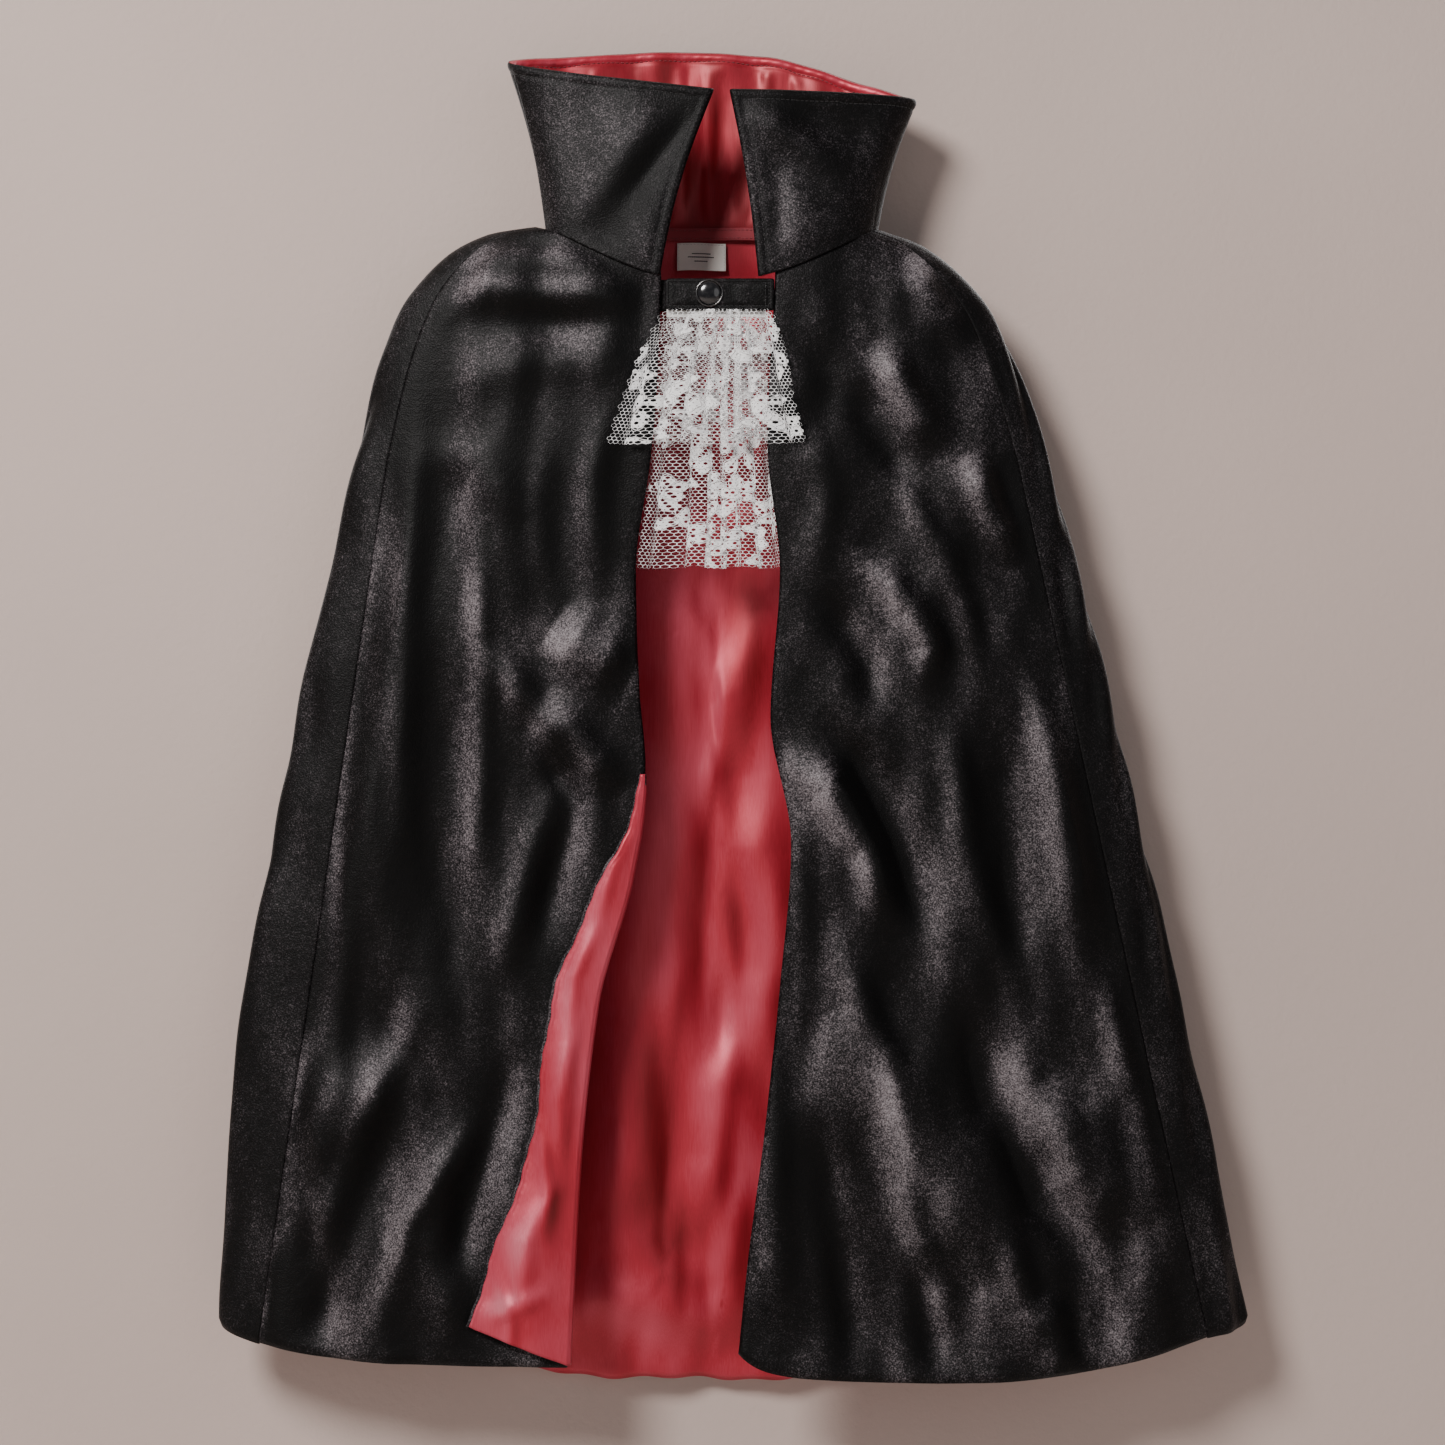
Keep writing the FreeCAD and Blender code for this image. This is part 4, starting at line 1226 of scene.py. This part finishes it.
def woven_label():
    """Folded woven label with a plain generic pattern of bars."""
    (left, front_y, bottom), (right, _, top) = mm_box("woven_label")
    across = np.linspace(0, 1, 60)[:, None]
    rise = np.linspace(0, 1, 34)[None, :]
    x = mix(left, right, across) + 0 * rise
    z = mix(bottom, top, rise) + 0.35 * np.sin(across * 5.0)
    y = front_y - 0.6 - 0.5 * np.sin(np.pi * across) * (1 - rise) - 0.25 * np.sin(across * 9 + rise * 3)
    grid = np.stack((x, y, z), axis=-1)
    piece = sheet_piece("woven_label_cloth", grid, 0.6, LABEL)
    dress(piece, "cape", "label", "woven_label", flat=(0.032, 0.018), held="stretched")
    front = np.array((0, -1.0, 0))

    def label_row(bundle, points, **sizes):
        path = []
        for u, v in points:
            i = int(round(u * 59))
            j = int(round(v * 33))
            path.append(grid[i, j] + front * 0.33)
        stitch_line(bundle, path, np.zeros((len(path), 3)) + front, **sizes)

    bars = Bundle()
    for v, start, end in ((0.62, 0.30, 0.70), (0.48, 0.22, 0.78), (0.34, 0.36, 0.64)):
        steps = np.linspace(start, end, 24)
        label_row(bars, [(u, v) for u in steps], length=1.1, gap=0.12, radius=0.34, rise=0.0)
    dress(bars.piece("label_woven_bars", GREY_THREAD), "cape", "label")
    hems = Bundle()
    sides = [[(u, v) for v in np.linspace(0.04, 0.96, 20)] for u in (0.04, 0.96)]
    for row in sides + [[(u, 0.95) for u in np.linspace(0.04, 0.96, 30)]]:
        label_row(hems, row, length=1.6, gap=0.7, radius=0.18, rise=0.0)
    dress(hems.piece("label_stitching", WHITE_THREAD), "cape", "label")


# ---------------------------------------------------------------- strap and snap


def padded_band(name, low, high, bow, material, thin, columns=120, rows=40, radius=3.0):
    """A sewn band between two corners, its edges turned under and its left corners rounded."""
    across = np.linspace(0, 1, columns)[:, None]
    rise = np.linspace(0, 1, rows)[None, :]
    width = high[0] - low[0]
    tall = high[2] - low[2]
    x = mix(low[0], high[0], across) + 0 * rise
    from_left = across * width
    short = edge_roll(from_left, radius)
    z = mix(low[2] + short, high[2] - short, rise)
    inner_x = np.minimum(from_left, width - from_left)
    inner_z = np.minimum(rise, 1 - rise) * tall
    distance = np.minimum(inner_x + 0 * inner_z, inner_z + 0 * inner_x)
    groove = np.exp(-((distance - 2.4) / 0.7) ** 2) * bow
    swell = ease(distance, 2.6, 6.0) * bow
    y = low[1] + thin / 2 + edge_roll(distance, 1.5) * 0.6 + groove * 0.6 - swell * 0.5
    y = y - 0.5 * bow * ripples(81, x, z, 22, 18) * ease(distance, 2, 6)
    grid = np.stack((x, y, z), axis=-1)[:, ::-1]
    x, z = grid[..., 0], grid[..., 2]
    # Painted light on the band: random tone, painted shade near x 12 and 31 mm and a painted highlight near
    # x 21 mm.
    tone_and_painted_light = NEUTRAL_PAINTED_LIGHT + 0.05 * ripples(82, x, z, 14, 30) - 0.1 * np.exp(-((x - 12) / 4) ** 2)
    tone_and_painted_light = tone_and_painted_light - 0.12 * np.exp(-((x - 31) / 6) ** 4) + 0.12 * np.exp(-((x - 21) / 4) ** 2)
    return sheet_piece(name, grid, thin, material, tone_and_painted_light), grid, distance[:, ::-1]


def neck_strap():
    """The strap's face, topstitched along its long edges, across its free end and beside the snap."""
    low, high = mm_box("strap_velvet")
    high[0] += 1.0
    strap, grid, distance = padded_band("strap_velvet_band", low, high, 0.7, VELVET, 1.4)
    dress(strap, "neck_strap", "velvet", "strap_velvet", flat=(0.068, 0.0195), held="stretched")
    rows = Bundle()
    count_u, count_v = distance.shape
    front = np.array((0, -1.0, 0))
    span = range(3, count_u - 3)
    for j_of in (lambda i: int(np.argmin(np.abs(distance[i, : count_v // 2] - 2.4))),
                 lambda i: count_v - 1 - int(np.argmin(np.abs(distance[i, ::-1][: count_v // 2] - 2.4)))):
        path = [grid[i, j_of(i)] + front * 0.72 for i in span]
        stitch_line(rows, smooth_path(path), np.zeros((len(path), 3)) + front, length=2.0,
                    gap=0.8, radius=0.22, rise=0.1)
    for x_share in (0.035, 0.965, 0.93):
        i = int(x_share * (count_u - 1))
        path = [grid[i, j] + front * 0.72 for j in range(4, count_v - 4)]
        stitch_line(rows, path, np.zeros((len(path), 3)) + front, length=1.6, gap=0.6,
                    radius=0.22, rise=0.1)
    dress(rows.piece("strap_topstitching", BLACK_THREAD), "neck_strap", "velvet")


def snap_pieces():
    """Domed cap and its rolled ring, turned about the snap's axis."""
    low, high = mm_box("snap_cap")
    centre = ((low[0] + high[0]) / 2, (low[2] + high[2]) / 2)
    radius = (high[0] - low[0]) / 2
    face = mm_box("strap_velvet")[0][1]
    top = low[1]
    dome = [(0.01, top)]
    for k in range(1, 15):
        turn = math.pi / 2 * k / 14
        dome.append((radius * math.sin(turn), mix(face - 0.9, top, math.cos(turn) ** 0.9)))
    dome += [(radius - 0.1, face - 0.5), (radius - 0.6, face - 0.3), (1.5, face - 0.3),
             (1.5, high[1] - 0.2), (1.2, high[1]), (0.01, high[1])]
    cap = turned_piece("snap_cap_dome", dome, centre, ENAMEL)
    dress(cap, "neck_strap", "snap_cap", "snap_cap")
    ring_low, ring_high = mm_box("snap_ring")
    outer = (ring_high[0] - ring_low[0]) / 2
    middle = (outer + radius + 0.15) / 2
    half = (outer - radius - 0.15) / 2
    profile = []
    for k in range(17):
        turn = 2 * math.pi * k / 16
        profile.append((middle + half * math.cos(turn), face - 0.75 - 0.65 * math.sin(turn)))
    profile[-1] = profile[0]
    ring = turned_piece("snap_ring_bead", profile, centre, NICKEL)
    dress(ring, "neck_strap", "snap_metal", "snap_ring")


def underlap():
    """The tab that the strap snaps to."""
    low, high = mm_box("underlap_velvet")
    piece, _, _ = padded_band("underlap_velvet_band", low, high, 0.2, VELVET, 1.2,
                              columns=90, rows=30, radius=0.01)
    dress(piece, "cape", "velvet", "underlap_velvet", flat=(0.062, 0.0195), held="stretched")


def carried_over():
    """CAD nodes that keep their own shape get their real materials."""
    for node, material in (
        ("strap_interfacing", FELT),
        ("strap_backing", BACKING),
        ("underlap_backing", BACKING),
        ("snap_socket", PALE_METAL),
        ("snap_stud", PALE_METAL),
        ("snap_stud_eyelet", PALE_METAL),
        ("jabot_heading_tape", HEADING),
    ):
        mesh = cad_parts[node].data
        mesh.materials.clear()
        mesh.materials.append(material)


# ---------------------------------------------------------------- lace

HEX_PITCH = 2.35


def leaf_outline(leaf, count=22):
    """Closed outline of a leaf, pointed at its tip and lobed along its sides."""
    cx, cy, turn, length, width = leaf
    points = []
    for k in range(count):
        share = k / count
        side = 1 if share < 0.5 else -1
        t = share * 2 if share < 0.5 else 2 - share * 2
        along = (t - 0.5) * length
        out = side * width / 2 * math.sin(math.pi * t) ** 0.75 * (1 + 0.16 * math.sin(t * 15))
        points.append((cx + along * math.cos(turn) - out * math.sin(turn),
                       cy + along * math.sin(turn) + out * math.cos(turn)))
    return points


def inside_leaf(leaf, x, y):
    """1 inside a leaf, 0 outside, and less along its open vein."""
    cx, cy, turn, length, width = leaf
    along = (x - cx) * math.cos(turn) + (y - cy) * math.sin(turn)
    out = -(x - cx) * math.sin(turn) + (y - cy) * math.cos(turn)
    t = along / length + 0.5
    within = (t > 0) & (t < 1)
    reach = width / 2 * np.sin(np.pi * np.clip(t, 0, 1)) ** 0.75
    vein = (np.abs(out) < 0.7) & (t < 0.75)
    return np.where(within & (np.abs(out) < reach), np.where(vein, 0.35, 1.0), 0.0)


def lace_pattern(seed, width, height):
    """Sprays of leaves and flowers spread evenly over a flat piece of lace."""
    dice = random.Random(seed)
    leaves = []
    stems = []
    step = 39.0
    row = 0
    y = step * 0.35
    while y < height + 6:
        x = step * (0.3 if row % 2 else 0.8)
        while x < width + 6:
            cx = x + dice.uniform(-3, 3)
            cy = y + dice.uniform(-3, 3)
            lean = dice.uniform(0, 2 * math.pi)
            petals = 5
            for k in range(petals):
                turn = lean + 2 * math.pi * k / petals
                leaves.append((cx + 5.2 * math.cos(turn), cy + 5.2 * math.sin(turn), turn, 8.6, 6.0))
            for side in (0.6, 3.6):
                turn = lean + side
                bend = dice.choice((-0.5, 0.5))
                stem = []
                for k in range(12):
                    t = k / 11
                    way = turn + bend * t
                    reach = 8 + 15 * t
                    stem.append((cx + reach * math.cos(way), cy + reach * math.sin(way)))
                stems.append(stem)
                for t, spread in ((0.3, 1.0), (0.6, -1.0), (0.95, 0.1)):
                    px, py = stem[int(t * 11)]
                    way = turn + bend * t + spread
                    leaves.append((px + 6.2 * math.cos(way), py + 6.2 * math.sin(way), way, 13.0, 6.4))
            x += step
        y += step * 0.82
        row += 1
    return leaves, stems


def lace_piece(name, seed, width, height, place):
    """Corded net lace: hexagonal mesh, dense leaves and a raised cord round each of them.

    place maps flat (across, down) points to the hung lace, with a distance off its surface.
    """
    leaves, stems = lace_pattern(seed, width, height)
    across = HEX_PITCH
    down = HEX_PITCH * math.sqrt(3) / 2
    rows = int(height / down)
    columns = int(width / across)
    centres = []
    for j in range(rows):
        for i in range(columns):
            centres.append((across * (i + 0.5 + 0.5 * (j % 2)), down * (j + 0.5)))
    centres = np.array(centres)
    fill = np.zeros(len(centres))
    for leaf in leaves:
        fill = np.maximum(fill, inside_leaf(leaf, centres[:, 0], centres[:, 1]))
    edge = np.minimum(centres[:, 0], width - centres[:, 0])
    fray = 1.1 + 0.9 * np.sin(centres[:, 1] * 0.9) + 0.6 * np.sin(centres[:, 1] * 2.3 + seed)
    keep = edge > fray
    hole = np.where(fill > 0.9, 0.22, np.where(fill > 0.2, 0.72, 0.89))
    dice = random.Random(seed + 5)
    corner_radius = HEX_PITCH / math.sqrt(3)
    corners = {}
    flat_points = []
    lifts = []
    faces = []

    def corner(x, y):
        key = (round(x * 50), round(y * 50))
        if key not in corners:
            corners[key] = len(flat_points)
            flat_points.append((x, y))
            lifts.append(0.0)
        return corners[key]

    for (cx, cy), gap, full, kept in zip(centres, hole, fill, keep):
        if not kept:
            continue
        gap = gap * dice.uniform(0.93, 1.07)
        ring = []
        inner = []
        for k in range(6):
            turn = math.pi / 6 + math.pi / 3 * k
            ring.append(corner(cx + corner_radius * math.cos(turn), cy + corner_radius * math.sin(turn)))
            inner.append(len(flat_points))
            flat_points.append((cx + gap * corner_radius * math.cos(turn),
                                cy + gap * corner_radius * math.sin(turn)))
            lifts.append(0.12 if full > 0.5 else 0.0)
        for k in range(6):
            n = (k + 1) % 6
            faces.append((ring[k], ring[n], inner[n], inner[k]))
    bundle = Bundle()
    flat_points = np.array(flat_points)
    bundle.add(place(flat_points[:, 0], flat_points[:, 1], np.array(lifts)), faces)
    for leaf in leaves:
        add_cord(bundle, leaf_outline(leaf), width, height, place, 0.30, True)
    for stem in stems:
        add_cord(bundle, stem, width, height, place, 0.34, False)
    return bundle.piece(name, LACE)


def add_cord(bundle, outline, width, height, place, radius, closed):
    outline = np.array(outline)
    inside = ((outline[:, 0] > 1.5) & (outline[:, 0] < width - 1.5)
              & (outline[:, 1] > 0.5) & (outline[:, 1] < height - 0.8))
    if inside.sum() < 4:
        return
    if not inside.all():
        closed = False
        outline = outline[inside]
    points = place(outline[:, 0], outline[:, 1], np.full(len(outline), 0.28))
    jump = np.linalg.norm(np.diff(points, axis=0), axis=1)
    if jump.max() > 7.0:
        return
    verts, faces = tube_mesh(points, np.array((0, -1.0, 0.05)), radius, 4, closed)
    bundle.add(verts, faces)


def gathered(rows, pleats, overlap, depth_top, depth_low, width, height, spread, seed):
    """Returns the function that hangs a flat strip of lace in gathers between two side lines.

    spread is the share across at which each part of the strip hangs, from its left to its right.
    """
    dice = random.Random(seed)
    lean = [dice.uniform(-0.5, 0.5) for _ in range(pleats + 2)]
    lefts = [(z, left) for z, left, _, _ in rows]
    rights = [(z, right) for z, _, right, _ in rows]
    depths = [(z, y) for z, _, _, y in rows]
    falls = [-z for z, _, _, _ in rows]
    widths = [right - left for _, left, right, _ in rows]
    top_z = rows[0][0]
    low_z = rows[-1][0]

    def hang(u, v, lift):
        share = np.clip(u / width, 0, 1)
        fall = np.clip(v / height, 0, 1)
        z = mix(top_z, low_z, fall)
        placed = between(spread, share)
        wander = 0.35 * np.sin(fall * 2.3 + share * 9.0)
        phase = 2 * math.pi * pleats * share + wander + np.interp(share * (pleats + 1),
                                                                  range(pleats + 2), lean)
        # The outer parts of the strip hang flat.
        calm = ease(placed, 0.02, 0.2) * (1 - ease(placed, 0.84, 0.99))
        calm = mix(calm * 0.9 + 0.1, 1.0, 1 - ease(fall, 0.0, 0.25))
        pitch = np.interp(-z, falls, widths) / pleats
        x = mix(between(lefts, z), between(rights, z), placed)
        x = x + overlap * pitch * np.sin(phase) * calm * 0.5
        depth = mix(depth_top, depth_low, fall)
        y = between(depths, z) - depth * np.cos(phase) * calm * 0.5
        y = y - 0.4 * np.sin(phase * 2.3 + fall * 4) * calm
        flutter = 1.6 * fall**2 * np.sin(share * 21 + 1.3)
        return np.stack((x, y - lift - flutter * calm, z - 0.8 * np.sin(share * 17) * fall), axis=-1)

    return hang


# Each tier's side lines as (z, left, right, y), its flat size, and where its parts hang across it.
UPPER_ROWS = ((-52.6, -31, 40, -36.4), (-81, -47, 48.5, -37.6), (-107, -57, 53, -38.8),
              (-139, -68, 61.5, -40.4))
LOWER_ROWS = ((-57.0, -31, 35, -29.6), (-110, -35, 36, -29.6), (-134, -38.5, 37, -28.6),
              (-188, -45.5, 43.0, -27.9), (-217.5, -51.0, 46.0, -27.6))

UPPER_SIZE = (158.0, 86.0)
LOWER_SIZE = (132.0, 161.0)
UPPER_SPREAD = ((0, 0), (0.16, 0.22), (0.5, 0.54), (0.84, 0.78), (1, 1))
LOWER_SPREAD = ((0, 0), (0.27, 0.42), (0.6, 0.68), (0.9, 0.93), (1, 1))


def jabot():
    """The two lace tiers, gathered under the strap."""
    width, height = UPPER_SIZE
    hang = gathered(UPPER_ROWS, 8, 0.62, 3.6, 4.8, width, height, UPPER_SPREAD, 3)
    upper = lace_piece("jabot_upper_lace", 7, width, height, hang)
    dress(upper, "jabot_upper", "lace", "jabot_upper_tier", flat=(width * MM, height * MM),
          held="gathered", area=0.0085)
    width, height = LOWER_SIZE
    hang = gathered(LOWER_ROWS, 7, 0.62, 3.0, 4.0, width, height, LOWER_SPREAD, 5)
    lower = lace_piece("jabot_lower_lace", 17, width, height, hang)
    dress(lower, "jabot", "lace", "jabot_lower_tier", flat=(width * MM, height * MM),
          held="gathered", area=0.013)


# ---------------------------------------------------------------- stage, light and camera


def stage_plane(name, corners, material):
    mesh = bpy.data.meshes.new(name)
    mesh.from_pydata(corners, [], [(0, 1, 2, 3)])
    mesh.materials.append(material)
    piece = bpy.data.objects.new(name, mesh)
    bpy.context.scene.collection.objects.link(piece)
    return piece


def see_through_from_behind(material):
    """The backdrop is only seen from its front, so that other views aren't blocked."""
    tree = material.node_tree
    geometry = tree.nodes.new("ShaderNodeNewGeometry")
    clear = tree.nodes.new("ShaderNodeBsdfTransparent")
    either = tree.nodes.new("ShaderNodeMixShader")
    surface = tree.nodes["Principled BSDF"]
    output = tree.nodes["Material Output"]
    tree.links.new(geometry.outputs["Backfacing"], either.inputs["Fac"])
    tree.links.new(surface.outputs["BSDF"], either.inputs[1])
    tree.links.new(clear.outputs["BSDF"], either.inputs[2])
    tree.links.new(either.outputs["Shader"], output.inputs["Surface"])


def area_light(name, place, target, size, energy, colour=(1, 1, 1)):
    data = bpy.data.lights.new(name, "AREA")
    data.shape = "DISK"
    data.size = size
    data.energy = energy
    data.color = colour
    lamp = bpy.data.objects.new(name, data)
    lamp.location = place
    lamp.rotation_euler = (Vector(target) - Vector(place)).to_track_quat("-Z", "Y").to_euler()
    bpy.context.scene.collection.objects.link(lamp)


CAMERA_PLACE = (0.0068, -2.217, -0.3169)
WALL_Y = 0.046
FLOOR_Z = -0.85


def stage_and_camera():
    wall = plaster_material("pale_plaster", (0.61, 0.495, 0.452))
    see_through_from_behind(wall)
    backdrop = stage_plane("backdrop", [(-3, WALL_Y, FLOOR_Z), (3, WALL_Y, FLOOR_Z), (3, WALL_Y, 2.2),
                                        (-3, WALL_Y, 2.2)], wall)
    backdrop.visible_shadow = False
    stage_plane("floor", [(-4, -4, FLOOR_Z), (4, -4, FLOOR_Z), (4, 4, FLOOR_Z), (-4, 4, FLOOR_Z)],
                plaster_material("pale_floor", (0.50, 0.45, 0.42)))
    middle = (0.0, 0.0, -0.3)
    area_light("key", (-1.25, -2.0, 1.25), middle, 0.95, 88, (1.0, 0.97, 0.94))
    area_light("fill", (1.7, -2.4, 0.3), middle, 2.0, 8, (1.0, 0.98, 0.97))
    area_light("back_left", (1.3, 2.2, 1.0), middle, 1.6, 75)
    area_light("back_right", (-1.6, 2.2, 0.4), middle, 1.8, 40)
    world = bpy.data.worlds.new("studio")
    world.use_nodes = True
    world.node_tree.nodes["Background"].inputs["Color"].default_value = (0.9, 0.92, 1.0, 1)
    world.node_tree.nodes["Background"].inputs["Strength"].default_value = 0.12
    bpy.context.scene.world = world
    data = bpy.data.cameras.new("camera")
    data.lens = 85
    data.sensor_width = 36
    camera = bpy.data.objects.new("camera", data)
    camera.location = CAMERA_PLACE
    camera.rotation_euler = (math.pi / 2, 0, 0)
    bpy.context.scene.collection.objects.link(camera)
    bpy.context.scene.camera = camera


def main():
    stage_and_camera()
    carried_over()
    back_velvet()
    back_satin()
    for left in (True, False):
        front_velvet(left)
        front_satin(left)
    turnback_pieces()
    collar_pieces()
    neck_tape()
    woven_label()
    underlap()
    neck_strap()
    snap_pieces()
    jabot()


main()
